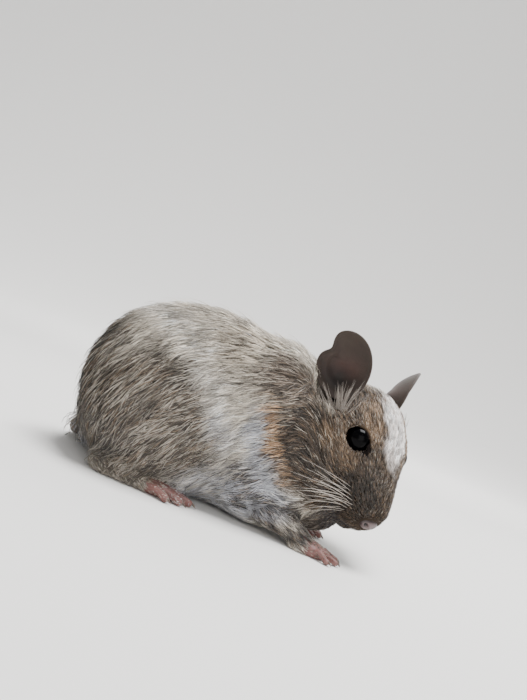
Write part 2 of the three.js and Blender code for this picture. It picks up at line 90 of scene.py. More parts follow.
def ripple(points: Array, size: float, seed: int, waves: int = 7) -> Array:
    """Smooth noise of about -1 to 1: the mean of sines of random directions whose wavelengths are near size.

    Args:
        points: (n, 3) places in millimetres.
        size: The usual wavelength in millimetres.
        seed: The draw of directions and phases.
        waves: How many sines are summed.

    Returns:
        (n,) values.
    """
    rng = np.random.default_rng(seed)
    heading = unit(rng.normal(size=(waves, 3))) * (2.0 * math.pi / (size * rng.uniform(0.7, 1.5, (waves, 1))))
    phase = rng.uniform(0.0, 2.0 * math.pi, waves)
    return np.sin(points @ heading.T + phase).sum(axis=1) * math.sqrt(2.0 / waves) * 0.6


@dataclass(frozen=True)
class Basis:
    """An origin and three unit axes: forward, left and up."""

    origin: Array
    forward: Array
    left: Array
    up: Array

    @classmethod
    def of(cls, origin: Sequence[float], forward: Sequence[float], left: Sequence[float]) -> "Basis":
        """A basis whose left is squared to its forward, and whose up is their cross product.

        Args:
            origin: Where the axes start.
            forward: The first axis, of any length.
            left: Roughly the second axis.

        Returns:
            The three axes at right angles, from the origin.
        """
        ahead = unit(forward)
        side = unit(np.asarray(left, float) - ahead * float(np.dot(left, ahead)))
        return cls(np.asarray(origin, float), ahead, side, np.cross(ahead, side))

    def turned(self, f: float, l: float, u: float) -> Array:
        """The direction f·forward + l·left + u·up."""
        return f * self.forward + l * self.left + u * self.up

    def at(self, f: Array, l: Array, u: Array) -> Array:
        """The places origin + f·forward + l·left + u·up, for numbers or whole arrays alike.

        Args:
            f: The distance forward.
            l: The distance to the left.
            u: The distance up.

        Returns:
            The places, with their three numbers as the last axis.
        """
        f, l, u = np.broadcast_arrays(f, l, u)
        across = f[..., None] * self.forward + l[..., None] * self.left + u[..., None] * self.up
        return self.origin + across

    def local(self, points: Array) -> Array:
        """The (f, l, u) of each point."""
        return (points - self.origin) @ np.stack([self.forward, self.left, self.up], axis=1)


BODY = Basis.of([0, 0, 0], [1, 0, 0], [0, 1, 0])


class Form(Protocol):
    """A soft form: near the distance from its surface, and negative inside."""

    def distance(self, points: Array) -> Array:
        """The (n,) values at (n, 3) points."""


@dataclass(frozen=True)
class Ellipsoid:
    """|q|·(|q| - 1) / |q / r|, where q is the place over the radii r."""

    basis: Basis
    centre: tuple[float, float, float]
    radii: tuple[float, float, float]

    def distance(self, points: Array) -> Array:
        """The form's value at each point.

        Args:
            points: Places, one to a row, in millimetres.

        Returns:
            One value to a place, below nought inside the form.
        """
        radii = np.array(self.radii)
        q = (self.basis.local(points) - np.array(self.centre)) / radii
        size = np.sqrt((q * q).sum(axis=1))
        slope = np.sqrt(((q / radii) ** 2).sum(axis=1))
        return np.where(slope < 1e-9, -radii.min(), size * (size - 1.0) / np.maximum(slope, 1e-9))


@dataclass(frozen=True)
class Chain:
    """The distance from a row of points, less a radius that runs from point to point.

    Beyond room from the row's box the value is the distance from the box, so that only near points are worked
    out in full.
    """

    points: Array
    radii: Array
    room: float = 14.0

    def distance(self, points: Array) -> Array:
        """The form's value at each point.

        Args:
            points: Places, one to a row, in millimetres.

        Returns:
            One value to a place, below nought inside the form.
        """
        knots = np.asarray(self.points, float)
        radii = np.asarray(self.radii, float)
        low = knots.min(axis=0) - radii.max()
        high = knots.max(axis=0) + radii.max()
        apart = np.linalg.norm(np.maximum(np.maximum(low - points, points - high), 0.0), axis=1)
        near = apart < self.room
        value = apart + 0.5 * self.room
        p = points[near]
        best = np.full(len(p), 1e6)
        for a, b, ra, rb in zip(knots[:-1], knots[1:], radii[:-1], radii[1:]):
            along = b - a
            t = np.clip((p - a) @ along / (along @ along), 0.0, 1.0)
            best = np.minimum(best, np.linalg.norm(p - a - t[:, None] * along, axis=1) - mixed(ra, rb, t))
        value[near] = best
        return value


def soft_min(first: Array, second: Array, reach: float) -> Array:
    """The smaller of two values less share²·reach/4, where share falls from 1 to 0 as they part by reach."""
    share = np.maximum(reach - np.abs(first - second), 0.0) / reach
    return np.minimum(first, second) - share * share * reach / 4.0


@dataclass(frozen=True)
class Blend:
    """Several forms joined by soft_min."""

    reach: float
    forms: tuple[Form, ...]

    def distance(self, points: Array) -> Array:
        """The form's value at each point.

        Args:
            points: Places, one to a row, in millimetres.

        Returns:
            One value to a place, below nought inside the form.
        """
        total = np.full(len(points), 1e6)
        for form in self.forms:
            total = soft_min(total, form.distance(points), self.reach)
        return total


def slope_of(form: Form, points: Array, value: Array, step: float = 0.08) -> Array:
    """The form's gradient by forward differences along the three axes."""
    ahead = [form.distance(points + step * axis) for axis in np.eye(3)]
    return (np.stack(ahead, axis=1) - value[:, None]) / step


def settled(form: Form, points: Array, height: Array, rounds: int) -> Array:
    """Points moved along the form's gradient g until the form's value F is height: p + (height - F)·g / |g|².

    Args:
        form: The soft form.
        points: (n, 3) places.
        height: The value wanted at each, or one for all.
        rounds: How many times the step is taken.

    Returns:
        (n, 3) moved places.
    """
    for _ in range(rounds):
        value = form.distance(points)
        slope = slope_of(form, points, value)
        size = np.maximum((slope * slope).sum(axis=1), 0.05)
        points = points + slope * (np.clip(height - value, -3.0, 3.0) / size)[:, None]
    return points


def rounded_row(points: Sequence[Sequence[float]], count: int) -> Array:
    """Points at even arc lengths along a smooth curve through a row of points.

    Between two points it is the cubic whose slopes are half the step from the point before to the one after.

    Args:
        points: The row of points.
        count: How many points are wanted.

    Returns:
        (count, 3) points.
    """
    knots = np.asarray(points, float)
    padded = np.vstack([2 * knots[0] - knots[1], knots, 2 * knots[-1] - knots[-2]])
    t = np.linspace(0.0, 1.0, 24, endpoint=False)[:, None]
    pieces = []
    for a, b, c, d in zip(padded[:-3], padded[1:-2], padded[2:-1], padded[3:]):
        pieces.append(
            0.5 * (2 * b + (c - a) * t + (2 * a - 5 * b + 4 * c - d) * t**2 + (3 * b - a - 3 * c + d) * t**3)
        )
    dense = np.vstack([*pieces, knots[-1:]])
    length = np.concatenate([[0.0], np.cumsum(np.linalg.norm(np.diff(dense, axis=0), axis=1))])
    wanted = np.linspace(0.0, length[-1], count)
    return np.stack([np.interp(wanted, length, dense[:, i]) for i in range(3)], axis=1)


# The animal's build


LID_STEPS = 29
LIP_STEPS = 12
TAIL_STEPS = 60


class Side(Enum):
    """The two sides of the animal, with the sign of Y."""

    RIGHT = -1
    LEFT = 1


@dataclass(frozen=True)
class PawSize:
    """A paw's sizes in its own frame, whose origin is the wrist or heel over the floor."""

    length: float
    spread: float
    fan: float
    toes: tuple[float, ...]
    toe_radius: float
    lift: float
    claw: float
    width: tuple[float, float]
    height: float


FORE_PAW = PawSize(8.5, 6.4, 1.1, (6.0, 7.8, 8.0, 6.4), 1.05, 1.2, 2.1, (3.2, 3.9), 3.2)
HIND_FOOT = PawSize(23.1, 8.0, 0.8, (8.0, 10.5, 11.5, 11.0, 8.4), 1.32, 1.2, 3.0, (4.0, 4.8), 4.0)


@dataclass(frozen=True)
class Paw:
    """A palm or sole flat on the floor, with its digits spread like a fan."""

    basis: Basis
    size: PawSize
    tip_height: float = 1.4

    @property
    def digits(self) -> list[tuple[Array, Array]]:
        """The (root, tip) of each digit as (f, l, height) in the paw's own frame.

        Returns:
            One pair to a digit, from one edge of the paw to the other.
        """
        rows = []
        for i, reach in enumerate(self.size.toes):
            share = i / (len(self.size.toes) - 1) - 0.5
            root = np.array([self.size.length * (0.82 - abs(share) * 0.3), share * self.size.spread, 2.0])
            turn = share * self.size.fan
            tip = root * LEVEL + [reach * math.cos(turn), reach * math.sin(turn), self.tip_height]
            rows.append((root, tip))
        return rows

    def digit_form(self, root: Array, tip: Array) -> Chain:
        """A digit as a chain that rises over its knuckle and ends in a round pad.

        Args:
            root: The digit's start, as (f, l, height).
            tip: Its end, likewise.

        Returns:
            The digit's form.
        """
        r = self.size.toe_radius
        knuckle = mixed(root, tip, 0.42) + UP * (0.55 * self.size.lift + 0.5)
        joint = mixed(root, tip, 0.72) * LEVEL + UP * (r + 0.9)
        pad = tip * LEVEL + UP * (r + 0.05)
        places = np.array([self.basis.at(*knot) for knot in (root, knuckle, joint, pad)])
        return Chain(places, np.array([r * 1.12, r * 0.94, r * 0.86, r * 1.02]), 3.0)

    @cached_property
    def form(self) -> Form:
        """The palm or sole, flattened towards its digits, with the digits blended on.

        Returns:
            The whole paw as one form.
        """
        s = self.size
        sole = []
        for share in (0.05, 0.35, 0.65, 0.85):
            centre = (share * s.length, 0.0, s.height * mixed(0.8, 0.42, share))
            radii = (s.length * 0.3 + 1.6, mixed(*s.width, share), s.height * mixed(0.95, 0.55, share))
            sole.append(Ellipsoid(self.basis, centre, radii))
        digits = [self.digit_form(root, tip) for root, tip in self.digits]
        return Blend(0.6, (Blend(2.5, tuple(sole)), *digits))


class Region(Enum):
    """Where a place on the skin lies."""

    BODY = 0
    HEAD = 1
    ARM = 2
    PAW = 3
    TAIL = 4


@dataclass(frozen=True)
class Degu:
    """The animal's sizes and soft forms, over the coat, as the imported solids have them."""

    trunk_length: float = 84.0
    back_height: float = 68.0
    trunk_width: float = 54.0
    head_length: float = 54.0
    head_width: float = 34.0
    eye_radius: float = 4.7
    ear_height: float = 24.0
    ear_width: float = 20.5
    tail_radius: float = 2.7
    head_yaw: float = 56.0
    head_pitch: float = 45.0
    head_roll: float = -7.0
    nose_tip: tuple[float, float, float] = (56.5, -19.0, 16.8)
    eye_place: tuple[float, float, float] = (-26.5, 11.0, 9.0)
    lid_radius: float = 0.5

    @cached_property
    def head(self) -> Basis:
        """The head's frame, turned to the animal's right by the yaw, lowered by the pitch and rolled.

        Returns:
            The frame, whose origin is the tip of the nose.
        """
        yaw, pitch, roll = (math.radians(a) for a in (self.head_yaw, self.head_pitch, self.head_roll))
        flat = math.cos(pitch)
        ahead = np.array([flat * math.cos(yaw), -flat * math.sin(yaw), -math.sin(pitch)])
        level = np.array([math.sin(yaw), math.cos(yaw), 0.0])
        left = level * math.cos(roll) + np.cross(ahead, level) * math.sin(roll)
        return Basis.of(self.nose_tip, ahead, left)

    @cached_property
    def trunk(self) -> Form:
        """The trunk's muscle masses.

        Returns:
            The masses, blended.
        """
        half = self.trunk_width / 2
        masses = [
            ((-16, 0, self.back_height * 0.48), (self.trunk_length / 2, half, self.back_height * 0.525)),
            ((-35.5, 1, 29.5), (23.5, half * 0.96, 29.5)),
            ((11, -1, 32), (24, half * 0.82, 32.5)),
            ((27, -9, 25), (17, 15, 19)),
        ]
        for side in Side:
            masses.append(((-25, side.value * 19.5, 23.5), (24.5, 12.5, 24.5)))
            masses.append(((15, side.value * 15, 21), (14, 9, 19)))
        return Blend(10, tuple(Ellipsoid(BODY, *mass) for mass in masses))

    @cached_property
    def body_form(self) -> Form:
        """The trunk with the neck, skull and throat."""
        return Blend(9, (self.trunk, self.neck, self.skull, self.throat))

    @cached_property
    def head_form(self) -> Form:
        """The head with the neck and throat, apart from the trunk."""
        return Blend(9, (self.neck, self.skull, self.throat, self.snout))

    @cached_property
    def neck(self) -> Form:
        """A tapered limb from the shoulders to the back of the skull."""
        back = self.head.at(-self.head_length * 0.68, 0, 0)
        return Chain(np.array([[12.0, -1.0, 42.0], back]), np.array([23.0, 16.5]))

    @cached_property
    def skull(self) -> Form:
        """The skull's back, its brow and its cheeks.

        Returns:
            The masses, blended.
        """
        half = self.head_width / 2
        masses = [
            ((-self.head_length * 0.72, 0, 2), (17, half * 0.98, 15.5)),
            ((-self.head_length * 0.52, 0, 5.5), (14, half * 0.78, 12)),
        ]
        for side in Side:
            masses.append(((-self.head_length * 0.5, side.value * half * 0.46, -4), (14, half * 0.56, 10.5)))
        return Blend(6, tuple(Ellipsoid(self.head, *mass) for mass in masses))

    @cached_property
    def throat(self) -> Form:
        """The fur under the jaw."""
        return Ellipsoid(self.head, (-self.head_length * 0.54, 0, -10), (16, self.head_width * 0.36, 9.5))

    @cached_property
    def snout(self) -> Form:
        """The muzzle from the cheeks to the nose.

        Returns:
            The masses, blended.
        """
        masses = [
            ((-19, 0, -6), (14, 9.5, 8)),
            ((-14.5, 0, 0.8), (14, 10.2, 10.6)),
            ((-5, 0, -2.4), (5.4, 6.6, 6.4)),
        ]
        return Blend(6, tuple(Ellipsoid(self.head, *mass) for mass in masses))

    def elbow(self, side: Side) -> Array:
        """The elbow, inside the coat."""
        return np.array([13, -16.5, 11.0] if side is Side.RIGHT else [11, 15, 11.0])

    def wrist(self, side: Side) -> Array:
        """The wrist, over the floor."""
        return np.array([34.5, -23.5, 4.6] if side is Side.RIGHT else [31, 11, 4.6])

    def forearm(self, side: Side) -> Chain:
        """A forearm that thins towards its wrist.

        Args:
            side: The side of the animal.

        Returns:
            The forearm, from elbow to wrist.
        """
        rows = rounded_row([self.elbow(side), self.wrist(side)], 6)
        share = np.linspace(0, 1, 6)
        return Chain(rows, mixed(7.2, 4.0, share**1.3))

    @cached_property
    def paws(self) -> dict[str, Paw]:
        """The four paws by name.

        Returns:
            A paw for each name.
        """
        right, left = self.wrist(Side.RIGHT), self.wrist(Side.LEFT)
        return {
            "right_forepaw": Paw(Basis.of([right[0], right[1], 0], [1, -0.02, 0], [0, 1, 0]), FORE_PAW),
            "left_forepaw": Paw(Basis.of([left[0], left[1], 0], [1, 0.05, 0], [0, 1, 0]), FORE_PAW),
            "right_hind_foot": Paw(Basis.of([-36, -25.5, 0], [1, -0.03, 0], [0, 1, 0]), HIND_FOOT),
            "left_hind_foot": Paw(Basis.of([-37, 25.5, 0], [1, 0.05, 0], [0, 1, 0]), HIND_FOOT),
        }

    @cached_property
    def tail_line(self) -> Array:
        """The tail's middle line in even steps, low round the far side of the body.

        Returns:
            The points, from root to tip.
        """
        knots = [(-46, 3, 11), (-55, 9, 7), (-58, 20, 3.4), (-52, 31, 2.7), (-40, 38, 2.5), (-24, 41.5, 2.4),
                 (-8, 42.5, 2.4), (6, 42, 2.4), (20, 39, 2.6), (31, 34, 2.8)]
        return rounded_row(knots, TAIL_STEPS)

    def tail_size(self, share: Array) -> Array:
        """The tail's radius over its coat: thick at the root, thinner in the brush's core."""
        root = 0.95 + 0.8 * np.maximum(0.0, 1.0 - share / 0.32) ** 1.5
        return self.tail_radius * root * mixed(1.0, 0.62, smooth_step((share - 0.66) / 0.34))

    @cached_property
    def tail(self) -> Chain:
        """The tail from the rump to its tip."""
        return Chain(self.tail_line, self.tail_size(np.linspace(0, 1, TAIL_STEPS)), 4.0)

    def eye(self, side: Side) -> Basis:
        """An eye's frame: forward looks out of the socket, left lies towards the nose.

        Args:
            side: The side of the animal.

        Returns:
            The eye's frame.
        """
        back, out, up = self.eye_place
        centre = self.head.at(back, out * side.value, up)
        return Basis.of(centre, self.head.turned(0.3, 0.9 * side.value, 0.3), self.head.turned(1.0, 0.0, 0.3))

    def ear(self, side: Side) -> Basis:
        """An ear's frame: forward runs from root to tip, left is the way that the cup faces.

        Args:
            side: The side of the animal.

        Returns:
            The ear's frame.
        """
        out = side.value
        along = self.head.turned(-0.68, 0.34 * out, 0.66)
        root = (-44.5, -15.8, 7.3) if side is Side.RIGHT else (-46, 14.2, 6)
        return Basis.of(self.head.at(*root), along, self.head.turned(0.66, 0.7 * out, 0.25))

    def lid_line(self, side: Side) -> Array:
        """The lids' edge: an almond round the eye, drawn out to the front corner towards the nose.

        Args:
            side: The side of the animal.

        Returns:
            A closed row of points, whose last is its first again.
        """
        turn = np.linspace(0, 2 * math.pi, LID_STEPS)
        front = np.maximum(0.0, np.cos(turn))
        long = (4.8 + 1.7 * front**6) * np.cos(turn)
        high = 4.0 * np.sin(turn) * (1 - 0.25 * front**2)
        return self.eye(side).at(2.0 - 0.3 * front**3, long, high)

    @cached_property
    def lids(self) -> dict[Side, Chain]:
        """The lids of either eye, as a thin closed ridge."""
        return {side: Chain(self.lid_line(side), np.full(LID_STEPS, self.lid_radius), 12.0) for side in Side}

    @cached_property
    def lips(self) -> dict[Side, Chain]:
        """The groove between the lips on either side."""
        radii = np.linspace(0.6, 0.35, LIP_STEPS)
        return {side: Chain(self.mouth_line(side), radii, 3.0) for side in Side}

    @cached_property
    def nose_pad(self) -> Ellipsoid:
        """The bare nose."""
        return Ellipsoid(self.head, (-0.9, 0.0, -0.9), (2.1, 4.0, 2.7))

    def ear_hollow(self, side: Side) -> Ellipsoid:
        """The room in front of an ear's cup, where the head and neck give way to it."""
        return Ellipsoid(self.ear(side), (3.6, 5.0, 0.7 * side.value), (8.6, 9.5, 9.0))

    def ear_canal(self, side: Side, grow: float = 0.0) -> Ellipsoid:
        """The bare foot of the hollow, where near-black painted shade goes, grown on every side."""
        radii = (6.2 + grow, 5.2 + grow, 5.0 + grow)
        return Ellipsoid(self.ear(side), (1.6, -0.6, -1.2 * side.value), radii)

    def mouth_line(self, side: Side) -> Array:
        """The line between the lips, from under the nose to the corner of the mouth.

        Args:
            side: The side of the animal.

        Returns:
            The points, from the middle to the corner.
        """
        out = side.value
        rows = [(-1.6, 0, -7.6), (-5, 3.9 * out, -8.1), (-10, 6.6 * out, -8), (-13.5, 8.8 * out, -7)]
        return rounded_row([self.head.at(*row) for row in rows], LIP_STEPS)


@dataclass(frozen=True)
class SkinForm:
    """The bare animal under its coat: the coat's outline less the coat's depth, with lids, lips and paws."""

    degu: Degu
    body_depth: float = 3.6
    head_depth: float = 1.5
    muzzle_depth: float = 0.7
    floor_room: float = 1.3

    def coat_depth(self, points: Array) -> Array:
        """The coat's depth: deep on the body, thin on the head, thinnest at the muzzle and round the eyes.

        Args:
            points: Places, one to a row, in millimetres.

        Returns:
            The depth at each place, in millimetres.
        """
        f = self.degu.head.local(points)[:, 0]
        depth = mixed(self.body_depth, self.head_depth, smooth_step((f + 56) / 20))
        depth = mixed(depth, self.muzzle_depth, smooth_step((f + 26) / 20))
        for side in Side:
            apart = np.linalg.norm(points - self.degu.eye(side).origin, axis=1)
            depth = mixed(depth, 0.5, smooth_step((9.5 - apart) / 5.0))
        return depth

    @cached_property
    def details(self) -> tuple[list[Form], list[Form]]:
        """The raised forms of the face, and the grooves cut in it.

        Returns:
            The raised forms, then the grooves and hollows.
        """
        degu = self.degu
        chin = Ellipsoid(degu.head, (-11.5, 0.0, -10.0), (8.5, 6.8, 4.6))
        throat = Ellipsoid(degu.head, (-22.0, 1.0, -16.0), (13.0, 9.5, 8.5))
        chest = Ellipsoid(BODY, (37.5, -4.0, 14.0), (10.0, 10.0, 9.0))
        raised: list[Form] = [chin, throat, chest]
        cut: list[Form] = []
        for side in Side:
            out = side.value
            raised.append(Ellipsoid(degu.head, (-6.5, 3.8 * out, -3.4), (5.0, 3.4, 3.8)))
            raised.append(Ellipsoid(degu.ear(side), (0.5, -6.8, 0.0), (6.5, 3.4, 6.5)))
            cut.append(degu.lips[side])
            cut.append(Ellipsoid(degu.eye(side), (2.2, 0.4, 0.0), (7.0, 4.9, 4.2)))
        cleft = np.array([degu.head.at(0.3, 0, -2.6), degu.head.at(0.1, 0, -5), degu.head.at(-0.7, 0, -7.4)])
        cut.append(Chain(cleft, np.array([0.35, 0.4, 0.4]), 3.0))
        cut.append(Ellipsoid(degu.head, (0.3, 0.0, -0.9), (2.0, 4.2, 2.9)))
        return raised, cut

    def distance(self, points: Array) -> Array:
        """The form's value at each point.

        Args:
            points: Places, one to a row, in millimetres.

        Returns:
            One value to a place, below nought inside the form.
        """
        degu = self.degu
        flesh = soft_min(degu.body_form.distance(points), degu.head_form.distance(points), 3.0)
        flesh = flesh + self.coat_depth(points)
        raised, cut = self.details
        for form in raised:
            flesh = soft_min(flesh, form.distance(points), 2.0)
        for side in Side:
            flesh = soft_min(flesh, degu.forearm(side).distance(points) + 1.3, 5.0)
        flesh = soft_min(flesh, degu.tail.distance(points) + 0.7, 3.0)
        flesh = -soft_min(-flesh, points[:, 2] - self.floor_room, 1.5)
        for paw in degu.paws.values():
            bare = -soft_min(-paw.form.distance(points), points[:, 2] - 0.06, 0.4)
            flesh = soft_min(flesh, bare, 1.0)
        for form in cut:
            flesh = -soft_min(-flesh, form.distance(points), 0.5)
        for side in Side:
            flesh = -soft_min(-flesh, degu.ear_hollow(side).distance(points), 4.0)
            flesh = soft_min(flesh, degu.lids[side].distance(points), 0.5)
        return flesh


# Meshes


@dataclass(frozen=True)
class Shape:
    """Points in millimetres and the corner numbers of triangles or quads."""

    points: Array
    faces: Array


def merged(shapes: Sequence[Shape]) -> Shape:
    """Several shapes as one: each one's corner numbers are moved past the points of those before it.

    Args:
        shapes: The shapes, whose faces all have as many corners.

    Returns:
        The one shape.
    """
    starts = np.cumsum([0, *(len(shape.points) for shape in shapes[:-1])])
    faces = [shape.faces + start for shape, start in zip(shapes, starts)]
    return Shape(np.vstack([shape.points for shape in shapes]), np.vstack(faces))


def ball_angles(gap: float, rows: int, around: int) -> list[Array]:
    """The angles a from a ball's pole, from gap to π - gap, and b round it, each as (rows, around) values."""
    round_it = np.linspace(0, 2 * math.pi, around, endpoint=False)
    return np.meshgrid(np.linspace(gap, math.pi - gap, rows), round_it, indexing="ij")


def closed_rings(rings: Array) -> Shape:
    """A closed surface through rings of points, each end closed by a fan round its ring's middle.

    The point of ring i and step j is joined to its neighbours (i + 1, j) and (i, j + 1) by two triangles, and
    the faces are turned round if the volume that they enclose, the sum of a·(b × c) / 6, is negative.

    Args:
        rings: (rows, around, 3) points.

    Returns:
        The surface as triangles.
    """
    rows, around = rings.shape[:2]
    i, j = np.meshgrid(np.arange(rows - 1), np.arange(around), indexing="ij")
    after = (j + 1) % around
    a, b, c, d = i * around + j, i * around + after, (i + 1) * around + after, (i + 1) * around + j
    sides = np.concatenate([np.stack([a, b, c], -1).reshape(-1, 3), np.stack([a, c, d], -1).reshape(-1, 3)])
    step = np.arange(around)
    first = np.stack([np.full(around, rows * around), (step + 1) % around, step], -1)
    base = (rows - 1) * around
    last = np.stack([np.full(around, rows * around + 1), base + step, base + (step + 1) % around], -1)
    points = np.vstack([rings.reshape(-1, 3), rings[0].mean(axis=0), rings[-1].mean(axis=0)])
    faces = np.concatenate([sides, first, last])
    corner = points[faces]
    volume = np.einsum("ij,ij->i", corner[:, 0], np.cross(corner[:, 1], corner[:, 2])).sum()
    return Shape(points, faces if volume > 0 else faces[:, ::-1])


def carried_profile(line: Array, radii: Array, around: int, flat: float = 1.0, top: Array = UP) -> Shape:
    """An oval carried along a line, flattened towards its top and closed at both ends.

    Args:
        line: (rows, 3) points of the middle line.
        radii: (rows,) half-widths.
        around: Points in each ring.
        flat: Half-height over half-width.
        top: The way that the oval's short side faces.

    Returns:
        The closed tube.
    """
    tangent = unit(np.gradient(line, axis=0))
    up = unit(top - tangent * (tangent @ top)[:, None])
    side = np.cross(tangent, up)
    turn = np.linspace(0, 2 * math.pi, around, endpoint=False)
    rings = (
        line[:, None]
        + up[:, None] * (np.cos(turn)[None, :] * radii[:, None] * flat)[..., None]
        + side[:, None] * (np.sin(turn)[None, :] * radii[:, None])[..., None]
    )
    return closed_rings(rings)


def level_surface(form: Form, low: Array, high: Array, step: float) -> Shape:
    """The surface where a form is nought, as quads on a grid of cubes.

    A cube with both signs at its corners gets one point, the mean of the places on its edges where the
    form, taken as a straight line between corners, is nought. Each grid edge whose ends differ in sign gets
    the quad of the four cubes round it. The form is worked out on a grid four times coarser first, and in
    full only near the surface.

    Args:
        form: The soft form.
        low: The lowest corner of the grid.
        high: The highest corner.
        step: The cube's side.

    Returns:
        The surface, its faces outward.
    """
    counts = np.ceil((high - low) / step).astype(int) + 1
    axes = [low[k] + step * np.arange(counts[k]) for k in range(3)]
    coarse = [axis[::4] for axis in axes]
    grid = np.stack(np.meshgrid(*coarse, indexing="ij"), -1)
    far = form.distance(grid.reshape(-1, 3)).reshape(grid.shape[:3])
    pick = [np.minimum((np.arange(n) + 2) // 4, len(c) - 1) for n, c in zip(counts, coarse)]
    values = far[np.ix_(*pick)]
    near = np.abs(values) < 9.0
    places = np.argwhere(near)
    values[near] = form.distance(low + step * places)

    corner = values < 0
    total = np.zeros(tuple(counts - 1) + (3,))
    crossings = np.zeros(tuple(counts - 1))
    index = np.indices(tuple(counts - 1)).transpose(1, 2, 3, 0)

    def part(array: Array, shift: Sequence[int]) -> Array:
        """The array as seen from each cube, moved by a corner's shift."""
        return array[tuple(slice(s, n - 1 + s) for s, n in zip(shift, counts))]

    for axis in range(3):
        others = [k for k in range(3) if k != axis]
        for p in (0, 1):
            for q in (0, 1):
                start = [0, 0, 0]
                start[others[0]], start[others[1]] = p, q
                end = list(start)
                end[axis] = 1
                a, b = part(values, start), part(values, end)
                crossed = part(corner, start) != part(corner, end)
                t = np.where(crossed, a / np.where(crossed, a - b, 1.0), 0.0)
                place = np.array(start, float) + np.eye(3)[axis] * t[..., None]
                total += np.where(crossed[..., None], place, 0.0)
                crossings += crossed
    active = crossings > 0
    number = np.full(active.shape, -1)
    number[active] = np.arange(active.sum())
    points = low + step * (index[active] + total[active] / crossings[active][:, None])

    quads = []
    for axis in range(3):
        one, two = [(axis + 1) % 3, (axis + 2) % 3]
        ends = [slice(1, -1)] * 3
        ends[axis] = slice(0, -1)
        starts = corner[tuple(ends)]
        ends[axis] = slice(1, None)
        stops = corner[tuple(ends)]
        place = np.argwhere(starts != stops) + np.array([0 if k == axis else 1 for k in range(3)])
        inward = starts[starts != stops]
        around = []
        for p, q in ((-1, -1), (0, -1), (0, 0), (-1, 0)):
            shift = np.zeros(3, int)
            shift[one], shift[two] = p, q
            around.append(number[tuple((place + shift).T)])
        quad = np.stack(around, -1)
        quads.append(np.where(inward[:, None], quad, quad[:, ::-1]))
    return Shape(points, np.concatenate(quads))


class Placer:
    """Moves body-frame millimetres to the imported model's metres, and makes the objects."""

    def __init__(self, degu: Degu) -> None:
        """The offset is that of the right eyeball's middle."""
        low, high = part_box("right_eye")
        self.middle = degu.eye(Side.RIGHT).origin - 500.0 * (np.array(low) + np.array(high))

    def placed(self, points: Array) -> Array:
        """(points - middle) / 1000."""
        return (points - self.middle) / 1000.0

    def mesh(self, name: str, shape: Shape) -> bpy.types.Mesh:
        """A Blender mesh of a shape, filled from whole arrays.

        Args:
            name: What the mesh is called.
            shape: Its shape, in the body's frame.

        Returns:
            The mesh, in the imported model's frame.
        """
        data = bpy.data.meshes.new(name)
        count, sides = shape.faces.shape
        data.vertices.add(len(shape.points))
        data.vertices.foreach_set("co", self.placed(shape.points).astype(np.float32).ravel())
        data.loops.add(count * sides)
        data.loops.foreach_set("vertex_index", shape.faces.astype(np.int32).ravel())
        data.polygons.add(count)
        data.polygons.foreach_set("loop_start", np.arange(0, count * sides, sides, dtype=np.int32))
        data.polygons.foreach_set("use_smooth", np.full(count, True))
        data.update(calc_edges=True)
        return data

    def link(
        self, name: str, data: bpy.types.Mesh, finish: bpy.types.Material, slot: str
    ) -> bpy.types.Object:
        """An object of a finished mesh, linked and riding on the body.

        Args:
            name: What the object is called.
            data: Its mesh.
            finish: Its material.
            slot: Not used.

        Returns:
            The object.
        """
        data.materials.append(finish)
        obj = bpy.data.objects.new(name, data)
        bpy.context.scene.collection.objects.link(obj)
        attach(obj, "root")
        LOG.info("%s: %d faces", name, len(data.polygons))
        return obj


def paint(data: bpy.types.Mesh, colours: Array) -> None:
    """Stores linear colours at the points as the Coat attribute.

    Args:
        data: The mesh.
        colours: One linear colour to a point.
    """
    layer = data.color_attributes.new("Coat", "FLOAT_COLOR", "POINT")
    full = np.ones((len(colours), 4), np.float32)
    full[:, :3] = np.clip(colours, 0.0, 1.0)
    layer.data.foreach_set("color", full.ravel())


# Markings


@dataclass(frozen=True)
class Stamp:
    """A soft-edged patch of one colour."""

    form: Form
    colour: Array
    edge: float = 4.0
    strength: float = 1.0

    def over(self, colours: Array, points: Array) -> Array:
        """The colours mixed with the stamp's own, by strength inside and fading across its edge."""
        share = self.strength * smooth_step(0.5 - self.form.distance(points) / self.edge)
        return mixed(colours, self.colour, share[:, None])


class Hue(Enum):
    """The animal's named colours, as sRGB codes."""

    CREAM = "cfc6b8"
    WHITE = "e9e2d8"
    # White fur darkened to blue-grey as painted shade, for the low parts of the body.
    SHADE_WHITE = "bfc0c6"
    SAND = "bfb4a4"
    HAUNCH = "665c51"
    # The rump's dark fur, darkened further as painted shade.
    RUMP = "221f1a"
    NAPE = "83766a"
    ORANGE = "c6a17e"
    BROWN = "52463b"
    DARK_BROWN = "2c251f"
    TAN = "957c63"
    BLAZE = "efe6e1"
    MUZZLE = "362e27"
    # Greys under the muzzle, the jaw and the head: painted shade.
    CHIN = "605d5d"
    JAW = "35302e"
    # The forearm's pale grey fur, darkened as painted shade.
    ARM = "4d4949"
    TAIL = "54483b"
    BLACK = "1c1714"
    LID = "1d1614"
    EAR = "392f29"
    EAR_FLUSH = "5d433e"
    # Blue-grey: painted shade low on the flank.
    FLANK = "595a61"
    # Near black: painted shade in the ear's hollow and canal.
    EAR_DARK = "17110f"
    # The paws' pink skin, darkened as painted shade.
    PINK = "7a5651"
    NOSE = "604e4d"
    # Near black: painted shade in the nostrils, also laid darker towards the pad's edge.
    NOSTRIL = "1a1212"
    EYE = "020203"
    CLAW = "5a4a42"
    WHISKER = "cfc6bb"
    DOWN = "a1988f"

    @property
    def colour(self) -> Array:
        """The linear colour."""
        return tint(self.value)


def patch(centre: tuple[float, float, float], radii: tuple[float, float, float]) -> Ellipsoid:
    """An ellipsoid in whatever frame its points are given."""
    return Ellipsoid(BODY, centre, radii)


def line_of(points: Sequence[Sequence[float]], radius: float) -> Chain:
    """A chain of one radius through a few points."""
    return Chain(np.array(points, float), np.full(len(points), radius))


